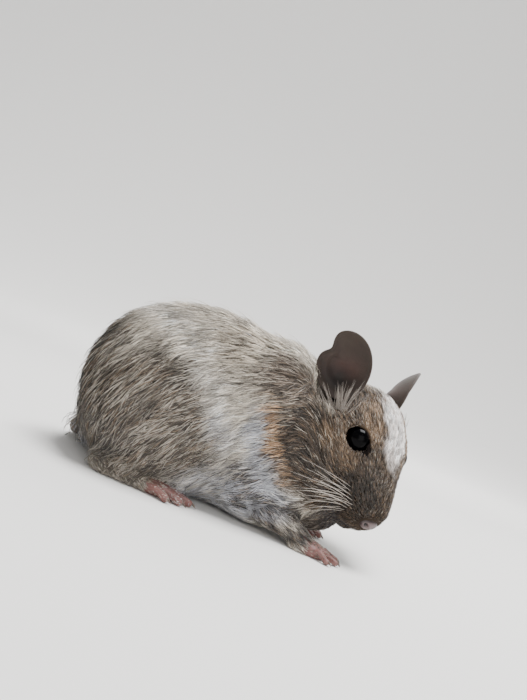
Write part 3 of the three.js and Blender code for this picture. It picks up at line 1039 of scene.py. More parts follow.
@dataclass(frozen=True)
class Markings:
    """The coat's colours as a function of place, the same for the skin and for the fur."""

    degu: Degu

    @cached_property
    def trunk_stamps(self) -> list[Stamp]:
        """Patches on either flank, in the body's frame with Y folded to the right.

        Returns:
            The patches, in the order that they are laid.
        """
        band = [(-46, 0, 62), (-41, -10, 59), (-28, -19, 56), (-18.7, -25.5, 49), (-11.5, -28.5, 41),
                (-5.5, -29, 32), (0, -28, 24)]
        collar = [(7.5, -27, 36), (11.5, -27, 25), (17.5, -26, 16), (22, -24, 11), (10, -22, 8)]
        return [
            Stamp(patch((-27, -30, 24), (24, 18, 22)), Hue.HAUNCH.colour, 14.0, 0.95),
            # The rump and the low haunch: dark fur, deepened towards the rear edge as painted shade.
            Stamp(patch((-62, 0, 28), (22, 36, 36)), Hue.RUMP.colour, 16.0, 0.8),
            Stamp(patch((-64, 0, 22), (14, 36, 38)), Hue.RUMP.colour, 9.0, 0.95),
            Stamp(patch((-46, -26, 16), (12, 14, 16)), Hue.RUMP.colour, 14.0, 0.6),
            Stamp(patch((-9, -17, 58), (9, 12, 12)), Hue.SAND.colour, 9.0, 0.8),
            Stamp(patch((12, -19, 51), (12, 18, 9)), Hue.NAPE.colour, 9.0, 0.95),
            Stamp(line_of(band[:-1], 5.0), Hue.WHITE.colour, 9.0, 0.95),
            # The band's low end and the collar: white fur in painted shade.
            Stamp(line_of(band[-2:], 3.5), Hue.SHADE_WHITE.colour, 6.0, 0.8),
            Stamp(line_of(collar, 5.5), Hue.SHADE_WHITE.colour, 5.0, 1.0),
            # Painted shade: a blue-grey patch low on the flank.
            Stamp(patch((7, -24, 12), (6, 8, 7)), Hue.FLANK.colour, 6.0, 0.95),
            # The low flank and the belly: white fur in painted shade.
            Stamp(patch((0, -20, 5), (16, 14, 12)), Hue.SHADE_WHITE.colour, 10.0, 0.8),
            Stamp(patch((-10, 0, 0), (60, 18, 12)), Hue.SHADE_WHITE.colour, 8.0, 0.8),
            Stamp(patch((41, -4, 12), (12, 13, 10)), Hue.NAPE.colour, 5.0, 0.85),
        ]

    @cached_property
    def neck_stamps(self) -> list[Stamp]:
        """Patches beside the turned head, in the body's frame.

        Returns:
            The patches, in the order that they are laid.
        """
        edge = [(9.5, -25.5, 41), (11, -25.5, 36), (15, -25.5, 29), (20.5, -25, 22.5)]
        return [
            Stamp(patch((29, -21, 34), (17, 17, 17)), Hue.BROWN.colour, 5.0, 1.0),
            Stamp(line_of(edge[:3], 3.0), Hue.ORANGE.colour, 2.8, 0.95),
            Stamp(line_of(edge[2:], 2.6), Hue.ORANGE.colour, 3.4, 0.6),
        ]

    @cached_property
    def head_stamps(self) -> list[Stamp]:
        """Patches on either side of the face, in the head's frame with l folded to the right.

        Returns:
            The patches, in the order that they are laid.
        """
        return [
            Stamp(patch((-10, -7, 1), (11, 8, 9)), Hue.MUZZLE.colour, 6.0, 0.9),
            Stamp(patch((-25, -20, 5), (7, 6, 5)), Hue.TAN.colour, 6.0, 0.8),
            Stamp(patch((-31, -10, 16), (9, 4.2, 5)), Hue.TAN.colour, 4.0, 0.85),
            Stamp(patch((-20, -13.5, 4.5), (6, 4, 3)), Hue.TAN.colour, 4.0, 0.7),
            # Under the muzzle, the jaw and the throat: painted shade in grey.
            Stamp(patch((-7, 0, -12), (12, 9, 7)), Hue.CHIN.colour, 5.0, 0.9),
            Stamp(patch((-24, -6, -16), (20, 14, 8)), Hue.CHIN.colour, 7.0, 0.85),
            Stamp(patch((-14, -10, -6), (8, 7, 6)), Hue.JAW.colour, 6.0, 0.85),
            Stamp(patch((-43, -20, 9), (4.5, 6, 4)), Hue.CREAM.colour, 4.0, 0.8),
        ]

    @cached_property
    def blaze(self) -> Form:
        """The white stripe down the brow, widest between the eyes, in the head's frame."""
        knots = [(-47, 0, 17), (-41, 0, 19.5), (-31, 0, 19), (-24, 0.4, 16), (-17, 1.0, 12.5)]
        return Chain(np.array(knots, float), np.array([1.2, 4.0, 5.6, 5.2, 2.4]))

    def colours(self, points: Array) -> Array:
        """The coat's linear colours.

        Args:
            points: (n, 3) places in the body's frame.

        Returns:
            (n, 3) colours.
        """
        wander = np.stack([ripple(points, 7.0, seed) for seed in (11, 12, 13)], axis=1)
        p = points + 1.3 * wander
        folded = p * [1, 0, 1] - np.abs(p * [0, 1, 0])
        colours = np.tile(Hue.CREAM.colour, (len(p), 1))
        for stamp in self.trunk_stamps:
            colours = stamp.over(colours, folded)
        q = self.degu.head.local(p)
        ahead = smooth_step((q[:, 0] + 51) / 8.0) * smooth_step((24 - np.abs(q[:, 1])) / 6.0)
        ahead = ahead * smooth_step((q[:, 2] + 17) / 8.0)
        colours = mixed(colours, Hue.BROWN.colour, ahead[:, None])
        for stamp in self.neck_stamps:
            colours = stamp.over(colours, p)
        folded_head = q * [1, 0, 1] - np.abs(q * [0, 1, 0])
        for stamp in self.head_stamps:
            colours = stamp.over(colours, folded_head)
        colours = Stamp(self.blaze, Hue.BLAZE.colour, 3.2, 1.0).over(colours, q)
        colours = Stamp(self.degu.nose_pad, Hue.LID.colour, 2.0, 0.9).over(colours, points)
        for side in Side:
            # The forearms' fur in painted shade.
            colours = Stamp(self.degu.forearm(side), Hue.ARM.colour, 3.0, 0.85).over(colours, p)
            colours = Stamp(self.degu.lips[side], Hue.LID.colour, 1.4, 0.9).over(colours, points)
            corner = np.maximum(0.0, np.cos(np.linspace(0, 2 * math.pi, LID_STEPS))) ** 4
            lids = Chain(self.degu.lid_line(side), 0.85 + 0.45 * corner, 3.0)
            colours = Stamp(lids, Hue.LID.colour, 0.7, 1.0).over(colours, points)
            # The ear's canal: near-black painted shade.
            canal_shade = Stamp(self.degu.ear_canal(side, 0.6), Hue.EAR_DARK.colour, 3.0, 1.0)
            colours = canal_shade.over(colours, points)
        tail_share = smooth_step(0.6 - (self.degu.tail.distance(points) + 0.4) / 2.0)
        colours = mixed(colours, Hue.TAIL.colour, tail_share[:, None])
        return colours * (1.0 + 0.1 * ripple(points, 3.0, 21))[:, None]


# Finishes


@dataclass(frozen=True)
class Finish:
    """A surface finish coloured by the Coat attribute, with fine mottling and bump from noise."""

    name: str
    roughness: float
    mottle: float = 0.12
    mottle_size: float = 0.0011
    bump: float = 0.25
    bump_size: float = 0.0006
    sheen: float = 0.0
    specular: float = 0.3
    subsurface: float = 0.0
    coat: float = 0.0

    def material(self) -> bpy.types.Material:
        """The node material.

        Returns:
            A new material of the finish.
        """
        made = bpy.data.materials.new(self.name)
        made.use_nodes = True
        nodes, links = made.node_tree.nodes, made.node_tree.links
        shader = nodes["Principled BSDF"]
        place = nodes.new("ShaderNodeTexCoord")
        colour = nodes.new("ShaderNodeAttribute")
        colour.attribute_name = "Coat"
        noise = nodes.new("ShaderNodeTexNoise")
        noise.inputs["Scale"].default_value = 1.0 / self.mottle_size
        noise.inputs["Detail"].default_value = 3.0
        links.new(place.outputs["Object"], noise.inputs["Vector"])
        span = nodes.new("ShaderNodeMapRange")
        span.inputs["To Min"].default_value = 1.0 - self.mottle
        span.inputs["To Max"].default_value = 1.0 + self.mottle
        links.new(noise.outputs["Fac"], span.inputs["Value"])
        scaled = nodes.new("ShaderNodeVectorMath")
        scaled.operation = "SCALE"
        links.new(colour.outputs["Color"], scaled.inputs[0])
        links.new(span.outputs["Result"], scaled.inputs["Scale"])
        links.new(scaled.outputs["Vector"], shader.inputs["Base Color"])
        if self.bump > 0:
            fine = nodes.new("ShaderNodeTexNoise")
            fine.inputs["Scale"].default_value = 1.0 / self.bump_size
            fine.inputs["Detail"].default_value = 4.0
            links.new(place.outputs["Object"], fine.inputs["Vector"])
            bump = nodes.new("ShaderNodeBump")
            bump.inputs["Strength"].default_value = self.bump
            bump.inputs["Distance"].default_value = 0.0002
            links.new(fine.outputs["Fac"], bump.inputs["Height"])
            links.new(bump.outputs["Normal"], shader.inputs["Normal"])
        shader.inputs["Roughness"].default_value = self.roughness
        shader.inputs["Specular IOR Level"].default_value = self.specular
        shader.inputs["Sheen Weight"].default_value = self.sheen
        shader.inputs["Sheen Roughness"].default_value = 0.5
        shader.inputs["Subsurface Weight"].default_value = self.subsurface
        shader.inputs["Subsurface Radius"].default_value = (0.0012, 0.0005, 0.0003)
        shader.inputs["Subsurface Scale"].default_value = 1.0
        shader.inputs["Coat Weight"].default_value = self.coat
        shader.inputs["Coat Roughness"].default_value = 0.03
        return made


FUR = Finish("fur", roughness=0.62, mottle=0.1, bump=0.0, sheen=0.15, specular=0.25)
UNDERCOAT = Finish("undercoat", roughness=0.9, mottle=0.25, bump=0.6, specular=0.1)
BARE_SKIN = Finish("bare_skin", roughness=0.5, mottle=0.14, mottle_size=0.0016, bump=0.5, bump_size=0.0005,
                   subsurface=0.25, specular=0.4)
EAR_SKIN = Finish("ear_skin", roughness=0.62, mottle=0.18, mottle_size=0.0022, bump=0.45, bump_size=0.0006,
                  subsurface=0.1, specular=0.3, sheen=0.2)
NOSE_SKIN = Finish("nose_skin", roughness=0.38, mottle=0.2, mottle_size=0.0009, bump=0.7, bump_size=0.00035,
                   specular=0.5)
EYE_GLOSS = Finish("eye_gloss", roughness=0.05, mottle=0.05, bump=0.0, specular=0.06)
HORN = Finish("claw_horn", roughness=0.35, mottle=0.2, bump=0.2, specular=0.5)
WHISKER = Finish("whisker", roughness=0.4, mottle=0.08, bump=0.0, specular=0.5)


# The skin


@dataclass
class Skin:
    """One skin under the coat, with its lids, lips, paws and ears."""

    degu: Degu
    form: SkinForm
    step: float = 0.85
    # The share of the markings' brightness on the skin: painted shade between the tufts.
    shade: float = 0.5
    low: tuple[float, float, float] = (-66.0, -47.0, -1.6)
    high: tuple[float, float, float] = (68.0, 50.0, 80.0)

    def surface(self) -> Shape:
        """The level surface of the skin's form, with finer faces on the face and paws.

        Returns:
            The skin's triangles.
        """
        rough = level_surface(self.form, np.array(self.low), np.array(self.high), self.step)
        work = bmesh.new()
        data = bpy.data.meshes.new("rough_skin")
        data.from_pydata(rough.points.tolist(), [], rough.faces.tolist())
        work.from_mesh(data)
        bpy.data.meshes.remove(data)
        near = self.fine_share(rough.points) > 0
        work.verts.ensure_lookup_table()
        edges = [e for e in work.edges if near[e.verts[0].index] and near[e.verts[1].index]]
        bmesh.ops.subdivide_edges(work, edges=edges, cuts=1, use_grid_fill=True)
        bmesh.ops.triangulate(work, faces=work.faces[:])
        made = bpy.data.meshes.new("fine_skin")
        work.to_mesh(made)
        work.free()
        points = np.empty(len(made.vertices) * 3)
        made.vertices.foreach_get("co", points)
        corners = np.empty(len(made.loops), np.int32)
        made.loops.foreach_get("vertex_index", corners)
        bpy.data.meshes.remove(made)
        places = settled(self.form, points.reshape(-1, 3), 0.0, 3)
        return Shape(places, corners.reshape(-1, 3))

    def fine_share(self, points: Array) -> Array:
        """1 on the front of the head and on the paws, 0 elsewhere.

        Args:
            points: Places, one to a row, in millimetres.

        Returns:
            One value to a place.
        """
        q = self.degu.head.local(points)
        face = (q[:, 0] > -38) & (np.abs(q[:, 1]) < 19) & (q[:, 2] > -14) & (q[:, 2] < 24)
        paws = np.zeros(len(points), bool)
        for paw in self.degu.paws.values():
            paws |= paw.form.distance(points) < 0.5
        return (face | paws).astype(float)

    def region_of(self, points: Array) -> Array:
        """The Region number of each place on the skin.

        Args:
            points: Places, one to a row, in millimetres.

        Returns:
            One number to a place.
        """
        degu = self.degu
        regions = np.full(len(points), Region.BODY.value)
        q = degu.head.local(points)
        body = degu.trunk.distance(points)
        head = Blend(6, (degu.skull, degu.throat, degu.snout)).distance(points)
        regions[(head < body + 2.0) & (q[:, 0] > -50)] = Region.HEAD.value
        flesh = np.minimum(body, head)
        for side in Side:
            arm = degu.forearm(side)
            close = arm.distance(points) < np.minimum(-0.3, flesh + 1.5)
            regions[close & (points[:, 2] < 14)] = Region.ARM.value
        regions[(degu.tail.distance(points) < 0.0) & (flesh > -2.0)] = Region.TAIL.value
        for name, paw in degu.paws.items():
            foot = paw.form.distance(points) < 0.6
            ahead = paw.basis.local(points)[:, 0]
            regions[foot] = Region.ARM.value
            regions[foot & (ahead > (1.0 if "fore" in name else 15.0))] = Region.PAW.value
        return regions

    def build(self, place: Placer, markings: Markings) -> Shape:
        """Makes the skin and dresses it.

        Args:
            place: What makes the meshes and links the objects.
            markings: The coat's colours by place.

        Returns:
            The body's shape without the ears, for the coat to grow on.
        """
        shape = self.surface()
        regions = self.region_of(shape.points)
        # The skin under the coat takes the markings at half: painted shade between the tufts.
        colours = markings.colours(shape.points) * self.shade
        # Bare paws: pink skin in painted shade.
        colours[regions == Region.PAW.value] = Hue.PINK.colour
        shapes = [shape]
        kinds = [np.where(regions[shape.faces[:, 0]] == Region.PAW.value, 1, 0)]
        for side in Side:
            ear = Ear(self.degu, side)
            shell = ear.shell()
            colours = np.vstack([colours, ear.colours(shell.points)])
            kinds.append(np.full(len(shell.faces), 2))
            shapes.append(shell)
        data = place.mesh("skin", merged(shapes))
        paint(data, colours)
        obj = place.link("skin", data, UNDERCOAT.material(), "body_fur")
        data.materials.append(BARE_SKIN.material())
        data.materials.append(EAR_SKIN.material())
        data.polygons.foreach_set("material_index", np.concatenate(kinds).astype(np.int32))
        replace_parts(obj, "head", "neck", "torso", "tail_base", "tail_middle")
        for side in ("right", "left"):
            parts = ("upper_arm", "forearm", "forepaw", "thigh", "hind_foot", "ear")
            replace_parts(obj, *(f"{side}_{part}" for part in parts))
        return shape


@dataclass(frozen=True)
class Ear:
    """A cupped round ear: a thin shell with a rolled rim, a notch behind its top and a ridge inside."""

    degu: Degu
    side: Side
    thickness: float = 1.0
    cup: float = 7.5
    notch_turn: float = 0.94
    notch_depth: float = 0.3
    notch_width: float = 0.36
    rows: int = 18
    around: int = 72

    def rim(self, turn: Array) -> Array:
        """The outline's share of its oval: 1 less a notch, a bell curve round the notch's turn."""
        gap = np.arctan2(np.sin(turn - self.notch_turn), np.cos(turn - self.notch_turn))
        return 1.0 - self.notch_depth * np.exp(-((gap / self.notch_width) ** 2))

    def place(self, turn: Array, share: Array, face: Array) -> Array:
        """The shell's places.

        Args:
            turn: The angle round the cup's middle, from the ear's top.
            share: 0 at the cup's middle, 1 at the rim.
            face: 1 on the inner face, -1 on the outer one.

        Returns:
            Places: the cup is a bowl of depth (1 - share²), deeper at its foot, and a ridge and the rolled
            rim stand on its inner face as bell curves of share.
        """
        degu, out = self.degu, self.side.value
        rim = self.rim(turn)
        high = share * rim * np.cos(turn) * degu.ear_height * 0.53
        wide = share * rim * np.sin(turn) * degu.ear_width * 0.5
        low = np.clip(-high / (degu.ear_height * 0.5), 0, 1)
        depth = self.cup * (1 - share**2) * (0.55 + 0.45 * low) - 2.2 * low * share
        thick = self.thickness * (1.0 - 0.45 * share**2)
        ridge = 0.9 * np.exp(-(((share - 0.66) / 0.09) ** 2)) * smooth_step((np.cos(turn - 2.3) + 0.1) / 0.8)
        roll = 0.45 * np.exp(-(((share - 0.95) / 0.05) ** 2))
        wave = 0.25 * np.sin(3 * turn + 1.0) * share**2
        lift = np.where(face > 0, thick / 2 + ridge + roll, -thick / 2)
        return degu.ear(self.side).at(degu.ear_height * 0.47 + high, lift + wave - depth, wide * out)

    def shell(self) -> Shape:
        """Rings from the middle of the inner face over the rim to the middle of the outer one.

        Returns:
            The closed shell.
        """
        half = np.linspace(0.02, 0.985, self.rows)
        share = np.concatenate([half, [1.0], half[::-1]])
        face = np.concatenate([np.ones(self.rows), [0.0], -np.ones(self.rows)])
        turn = np.linspace(0, 2 * math.pi, self.around, endpoint=False)
        shares, turns = np.meshgrid(share, turn, indexing="ij")
        rings = self.place(turns, shares, np.repeat(face[:, None], self.around, axis=1))
        rims = [self.place(turn, np.ones(self.around), np.full(self.around, way)) for way in (1.0, -1.0)]
        rings[self.rows] = (rims[0] + rims[1]) / 2
        return closed_rings(rings)

    def colours(self, points: Array) -> Array:
        """Taupe, flushed in the middle of the cup, with painted shade near black on its inner face at its
        foot, in its canal and towards its rear.

        Args:
            points: Places, one to a row, in millimetres.

        Returns:
            One linear colour to a place.
        """
        q = self.degu.ear(self.side).local(points)
        middle = np.exp(-(((q[:, 0] - 9.5) / 4.0) ** 2) - (q[:, 2] / 6.0) ** 2)
        colours = mixed(Hue.EAR.colour, Hue.EAR_FLUSH.colour, 0.6 * middle[:, None])
        deep_shade = smooth_step((9.5 - q[:, 0]) / 7.0) * smooth_step((-0.5 - q[:, 1]) / 3.0)
        rear_shade = smooth_step((15 - q[:, 0]) / 9.0) * smooth_step((self.side.value * q[:, 2] + 1.0) / 5.0)
        inner = smooth_step((0.8 - q[:, 1]) / 2.5)
        canal_shade = np.exp(-(((q[:, 0] - 4.0) / 6.5) ** 2) - ((self.side.value * q[:, 2] - 1.5) / 4.6) ** 2)
        dark = np.maximum(np.maximum(deep_shade, 0.7 * rear_shade), 0.95 * canal_shade) * np.maximum(inner, deep_shade)
        return mixed(colours, Hue.EAR_DARK.colour, dark[:, None])


@dataclass(frozen=True)
class Eyes:
    """Two glossy black eyeballs, each a sphere of fine rings whose pole looks out."""

    degu: Degu

    def ball(self, side: Side) -> Shape:
        """R·(cos a, sin a·cos b, sin a·sin b) for the angle a from the pole and the turn b.

        Args:
            side: The side of the animal.

        Returns:
            The closed ball.
        """
        a, b = ball_angles(0.02, 40, 56)
        r = self.degu.eye_radius
        rim = r * np.sin(a)
        return closed_rings(self.degu.eye(side).at(r * np.cos(a), rim * np.cos(b), rim * np.sin(b)))

    def build(self, place: Placer) -> None:
        """Makes both eyes.

        Args:
            place: What makes the meshes and links the objects.
        """
        finish = EYE_GLOSS.material()
        for side in Side:
            name = side.name.lower() + "_eye"
            shape = self.ball(side)
            data = place.mesh(name + "_ball", shape)
            paint(data, np.tile(Hue.EYE.colour, (len(shape.points), 1)))
            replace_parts(place.link(name + "_ball", data, finish, "eyes"), name)


@dataclass(frozen=True)
class Nose:
    """The bare nose pad with its two nostrils."""

    degu: Degu
    radii: tuple[float, float, float] = (2.1, 4.0, 2.7)
    nostril: float = 2.25

    def build(self, place: Placer) -> None:
        """An oval dented by a bell curve at each nostril and along the middle, with painted shade in the
        nostrils and coloured darker towards its edge.

        Args:
            place: What makes the meshes and links the objects.
        """
        a, b = ball_angles(0.03, 48, 72)
        f = self.radii[0] * np.cos(a)
        l = self.radii[1] * np.sin(a) * np.cos(b)
        u = self.radii[2] * np.sin(a) * np.sin(b)
        front = smooth_step((np.cos(a) + 0.2) / 0.6)
        dents = sum(
            1.3 * np.exp(-(((l - self.nostril * s) / 0.75) ** 2) - ((u + 0.15 - 0.25 * s * l) / 0.55) ** 2)
            for s in (-1, 1)
        )
        groove = 0.35 * np.exp(-((l / 0.3) ** 2)) * smooth_step((-u + 0.6) / 1.0)
        f = f - front * (dents + groove)
        shape = closed_rings(self.degu.head.at(f - 0.9, l, u - 0.9))
        colours = np.tile(Hue.NOSE.colour, (len(shape.points), 1))
        q = self.degu.head.local(shape.points) - [-0.9, 0, -0.9]
        # Painted shade in the nostrils; the pad is also darker towards its edge.
        nostril_shade = sum(
            np.exp(-(((q[:, 1] - self.nostril * s) / 0.85) ** 2) - ((q[:, 2] - 0.3) / 0.75) ** 2)
            for s in (-1, 1)
        )
        edge = smooth_step((np.hypot(q[:, 1] / self.radii[1], q[:, 2] / self.radii[2]) - 0.72) / 0.24)
        dark = np.clip(np.maximum(nostril_shade * 1.3, 0.75 * edge), 0, 1)
        colours = mixed(colours, Hue.NOSTRIL.colour, dark[:, None])
        data = place.mesh("nose_pad", shape)
        paint(data, colours)
        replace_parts(place.link("nose_pad", data, NOSE_SKIN.material(), "nose"), "nose")


@dataclass(frozen=True)
class Claws:
    """A curved tapered claw on every digit."""

    degu: Degu

    def build(self, place: Placer) -> None:
        """Each claw is an oval that shrinks along a down-curving line from its digit's tip.

        Args:
            place: What makes the meshes and links the objects.
        """
        finish = HORN.material()
        for name, paw in self.degu.paws.items():
            claws = []
            r = paw.size.toe_radius
            for root, tip in paw.digits:
                ahead = unit((tip - root) * LEVEL)
                share = np.linspace(0, 1, 9)
                reach = mixed(-0.9, paw.size.claw, share)
                height = r + 0.35 + 0.35 * np.sin(share * math.pi * 0.8) - (r + 0.1) * share**2.2
                line = paw.basis.at(tip[0] + ahead[0] * reach, tip[1] + ahead[1] * reach, height)
                claws.append(carried_profile(line, 0.62 * (1 - share) ** 0.7 + 0.05, 8, 1.15))
            whole = merged(claws)
            data = place.mesh(name + "_claws", whole)
            paint(data, np.tile(Hue.CLAW.colour, (len(whole.points), 1)))
            place.link(name + "_claws", data, finish, "paws")


# The coat


@dataclass
class Roots:
    """Places on the skin where tufts grow."""

    points: Array
    normals: Array
    regions: Array

    def kept(self, mask: Array) -> "Roots":
        """The roots that a mask keeps."""
        return Roots(self.points[mask], self.normals[mask], self.regions[mask])

    def __len__(self) -> int:
        """How many roots there are."""
        return len(self.points)


@dataclass
class Tufts:
    """Tapered three-sided tufts: what each needs to be built."""

    roots: Array
    normals: Array
    lie: Array
    length: Array
    width: Array
    lift: Array
    bend: Array
    colours: Array
    tips: Array
    unwrap: Array

    def kept(self, mask: Array) -> "Tufts":
        """The tufts that a mask or order keeps."""
        return Tufts(*(getattr(self, name)[mask] for name in self.__dataclass_fields__))


@dataclass(frozen=True)
class TuftBuilder:
    """Turns tufts into closed meshes that lie along the skin's form."""

    form: Form
    steps: tuple[float, ...] = (0.0, 0.38, 0.72)
    widths: tuple[float, ...] = (0.75, 1.0, 0.66)
    patch: float = 0.003
    floor: float = 0.12

    def lines(self, tufts: Tufts) -> Array:
        """The middle line of each tuft.

        At the share s of its length a line is root + L·(s·lie + bend·s²·side), then moved along the skin's
        normal until its height over the skin is L·lift·s·(2 - s), so that it rises at its root and lies
        down at its tip.

        Args:
            tufts: The tufts.

        Returns:
            (n, steps + 1, 3) points.
        """
        side = np.cross(tufts.normals, tufts.lie)
        rows = [tufts.roots - tufts.normals * 0.25]
        for s in (*self.steps[1:], 1.0):
            ahead = tufts.lie * s + side * (tufts.bend * s * s)[:, None]
            place = tufts.roots + tufts.length[:, None] * ahead
            height = tufts.length * tufts.lift * s * (2 - s)
            place = settled(self.form, place + tufts.normals * height[:, None] * 0.7, height, 2)
            place[:, 2] = np.maximum(place[:, 2], self.floor + 0.1)
            rows.append(place)
        return np.stack(rows, axis=1)

    def shape(self, tufts: Tufts) -> tuple[Shape, Array, Array]:
        """The tufts' mesh.

        Each line carries a flat triangle, its base across the lie and its point outward, that narrows to a
        single tip, and its root is closed.

        Args:
            tufts: The tufts.

        Returns:
            The shape, the colour of each point and the OFBake place of each corner.
        """
        lines = self.lines(tufts)
        count = len(lines)
        rings = len(self.steps)
        tangent = unit(lines[:, 1:] - lines[:, :-1])
        across = unit(np.cross(tufts.normals[:, None], tangent))
        outward = np.cross(tangent, across)
        scale = np.array(self.widths)[None, :, None] * tufts.width[:, None, None]
        left = lines[:, :rings] + across * scale * 0.5
        right = lines[:, :rings] - across * scale * 0.5
        ridge = lines[:, :rings] + outward * scale * 0.5
        body = np.stack([left, right, ridge], axis=2).reshape(count, rings * 3, 3)
        points = np.concatenate([body, lines[:, -1:]], axis=1)
        points[:, :, 2] = np.maximum(points[:, :, 2], self.floor)
        faces = [[0, 1, 2]]
        for r in range(rings - 1):
            for a, b in ((0, 1), (1, 2), (2, 0)):
                low, high = r * 3, (r + 1) * 3
                faces += [[low + a, high + a, high + b], [low + a, high + b, low + b]]
        top = (rings - 1) * 3
        faces += [[top + a, rings * 3, top + b] for a, b in ((0, 1), (1, 2), (2, 0))]
        pattern = np.array(faces)
        per = rings * 3 + 1
        every = pattern[None] + per * np.arange(count)[:, None, None]
        share = np.array([*np.repeat(self.steps, 3), 1.0])
        to_tip = smooth_step((share - 0.35) / 0.65)[None, :, None]
        colours = mixed(tufts.colours[:, None], tufts.tips[:, None], to_tip)
        # Darker towards the root: the hairs' darker bases, and painted shade deep in the coat.
        colours = colours * mixed(0.42, 1.0, smooth_step(share / 0.45))[None, :, None]
        local = np.stack([np.array([*([0.0, 1.0, 0.5] * rings), 0.5]), share], axis=1) * self.patch
        uv = tufts.unwrap[:, None] + local[None]
        corner_uv = uv[:, pattern.ravel()].reshape(-1, 2)
        return Shape(points.reshape(-1, 3), every.reshape(-1, 3)), colours.reshape(-1, 3), corner_uv


TUFT_DENSITY: dict[Region, float] = {
    Region.BODY: 3.3,
    Region.HEAD: 9.6,
    Region.ARM: 7.0,
    Region.PAW: 2.5,
    Region.TAIL: 8.0,
}


@dataclass
class Coat:
    """The fur: tufts over the skin in the lie, length and colours of each part of the body."""

    degu: Degu
    skin: SkinForm
    markings: Markings
    seed: int = 5
    most: int = 195_000
    rump_length: float = 12.0
    shoulder_length: float = 7.0
    belly_length: float = 5.6
    nape_length: float = 5.6
    brow_length: float = 3.4
    muzzle_length: float = 1.9
    arm_length: float = 4.2
    heel_length: float = 2.4
    paw_length: float = 1.3
    tail_length: float = 3.2
    brush_length: float = 12.0
    tip_length: float = 6.5
    guard_share: float = 0.1
    fur: bpy.types.Material = field(init=False)
    rng: np.random.Generator = field(init=False)

    def __post_init__(self) -> None:
        """Makes the finish and the draw."""
        self.fur = FUR.material()
        self.rng = np.random.default_rng(self.seed)

    def scattered(self, shape: Shape, regions: Array) -> Roots:
        """Roots drawn at random over the skin's triangles, as many as area × density.

        Args:
            shape: The skin.
            regions: The Region number of each of its points.

        Returns:
            The roots, each a random mix of its triangle's corners.
        """
        corner = shape.points[shape.faces]
        cross = np.cross(corner[:, 1] - corner[:, 0], corner[:, 2] - corner[:, 0])
        area = np.linalg.norm(cross, axis=1) / 2
        table = np.zeros(len(Region))
        for region, density in TUFT_DENSITY.items():
            table[region.value] = density
        kind = regions[shape.faces[:, 0]]
        middle = corner.mean(axis=1)
        amount = area * table[kind] * self.thinning(middle)
        face = self.rng.choice(len(area), size=int(amount.sum()), p=amount / amount.sum())
        mix = self.rng.random((len(face), 2))
        over = mix.sum(axis=1) > 1
        mix[over] = 1 - mix[over]
        weights = np.column_stack([1 - mix.sum(axis=1), mix])
        normals = np.zeros_like(shape.points)
        for k in range(3):
            np.add.at(normals, shape.faces[:, k], cross)
        normals = unit(normals)
        points = (corner[face] * weights[..., None]).sum(axis=1)
        bent = unit((normals[shape.faces[face]] * weights[..., None]).sum(axis=1))
        return Roots(points, bent, kind[face])

    def thinning(self, points: Array) -> Array:
        """The share of the density: none on the lids, nose, lips and the soles, and less under the belly.

        Args:
            points: Places, one to a row, in millimetres.

        Returns:
            One share to a place.
        """
        share = np.ones(len(points))
        for side in Side:
            lids = self.degu.lids[side].distance(points)
            ball = np.linalg.norm(points - self.degu.eye(side).origin, axis=1) - self.degu.eye_radius
            share[(lids < 0.5) | (ball < 0.2)] = 0.0
            share[self.degu.lips[side].distance(points) < 0.35] = 0.0
            share[self.degu.ear_canal(side).distance(points) < 0.0] = 0.0
        share[self.degu.nose_pad.distance(points) < 0.7] = 0.0
        share[points[:, 2] < 0.6] = 0.0
        share[points[:, 2] < 4.0] *= 0.5
        return share

    def lie(self, roots: Roots) -> Array:
        """The way that the coat lies at each root, along the skin.

        Back and down over the trunk, more steeply towards the rump, away from the nose on the head, down
        the arms to the toes and along the tail. The chosen way is made level with the skin and turned by
        smooth noise.

        Args:
            roots: The roots.

        Returns:
            One unit way to a root.
        """
        p, degu = roots.points, self.degu
        steep = mixed(0.55, 1.25, smooth_step((12 - p[:, 0]) / 60.0))
        way = np.stack([-np.cos(steep), np.zeros(len(p)), -np.sin(steep)], axis=1)
        q = degu.head.local(p)
        under = smooth_step((6 - q[:, 2]) / 12)[:, None]
        from_nose = unit(p - degu.head.at(3.0, 0, -2.0)) - 0.32 * degu.head.up * under
        ahead = smooth_step((q[:, 0] + 58) / 14.0) * (roots.regions != Region.ARM.value)
        near_head = smooth_step((34 - np.abs(q[:, 1])) / 10.0) * smooth_step((q[:, 2] + 26) / 12.0)
        way = unit(mixed(way, from_nose, (ahead * near_head)[:, None]))
        for side in Side:
            arm = (roots.regions == Region.ARM.value) & (np.sign(p[:, 1] + 5) == side.value)
            way[arm] = unit(degu.wrist(side) - degu.elbow(side) + [0, 0, -4.0])
        way[roots.regions == Region.PAW.value] = [1.0, 0.0, 0.0]
        tail = roots.regions == Region.TAIL.value
        if tail.any():
            way[tail] = self.tail_way(p[tail])[0]
        level = way - roots.normals * (way * roots.normals).sum(axis=1)[:, None]
        level = unit(level)
        turn = 0.2 * ripple(p, 9.0, 31) + 0.1 * ripple(p, 3.2, 32) + self.rng.normal(0, 0.08, len(p))
        side_way = np.cross(roots.normals, level)
        return level * np.cos(turn)[:, None] + side_way * np.sin(turn)[:, None]

    def clumps(self, points: Array, share: float) -> tuple[Array, Array]:
        """The nearest of the clump middles to each root, and that clump's number.

        The middles are a random draw from the roots. Each root takes the middle with the least |m|² - 2p·m,
        which is its squared distance less |p|².

        Args:
            points: The roots' places.
            share: How many of the roots are middles.

        Returns:
            One middle to a root, and one number.
        """
        amount = max(8, int(len(points) * share))
        middles = points[self.rng.permutation(len(points))[:amount]]
        square = (middles * middles).sum(axis=1)
        rows = [
            (square[None] - 2.0 * part @ middles.T).argmin(axis=1)
            for part in np.array_split(points, max(1, len(points) // 4000))
        ]
        number = np.concatenate(rows)
        return middles[number], number

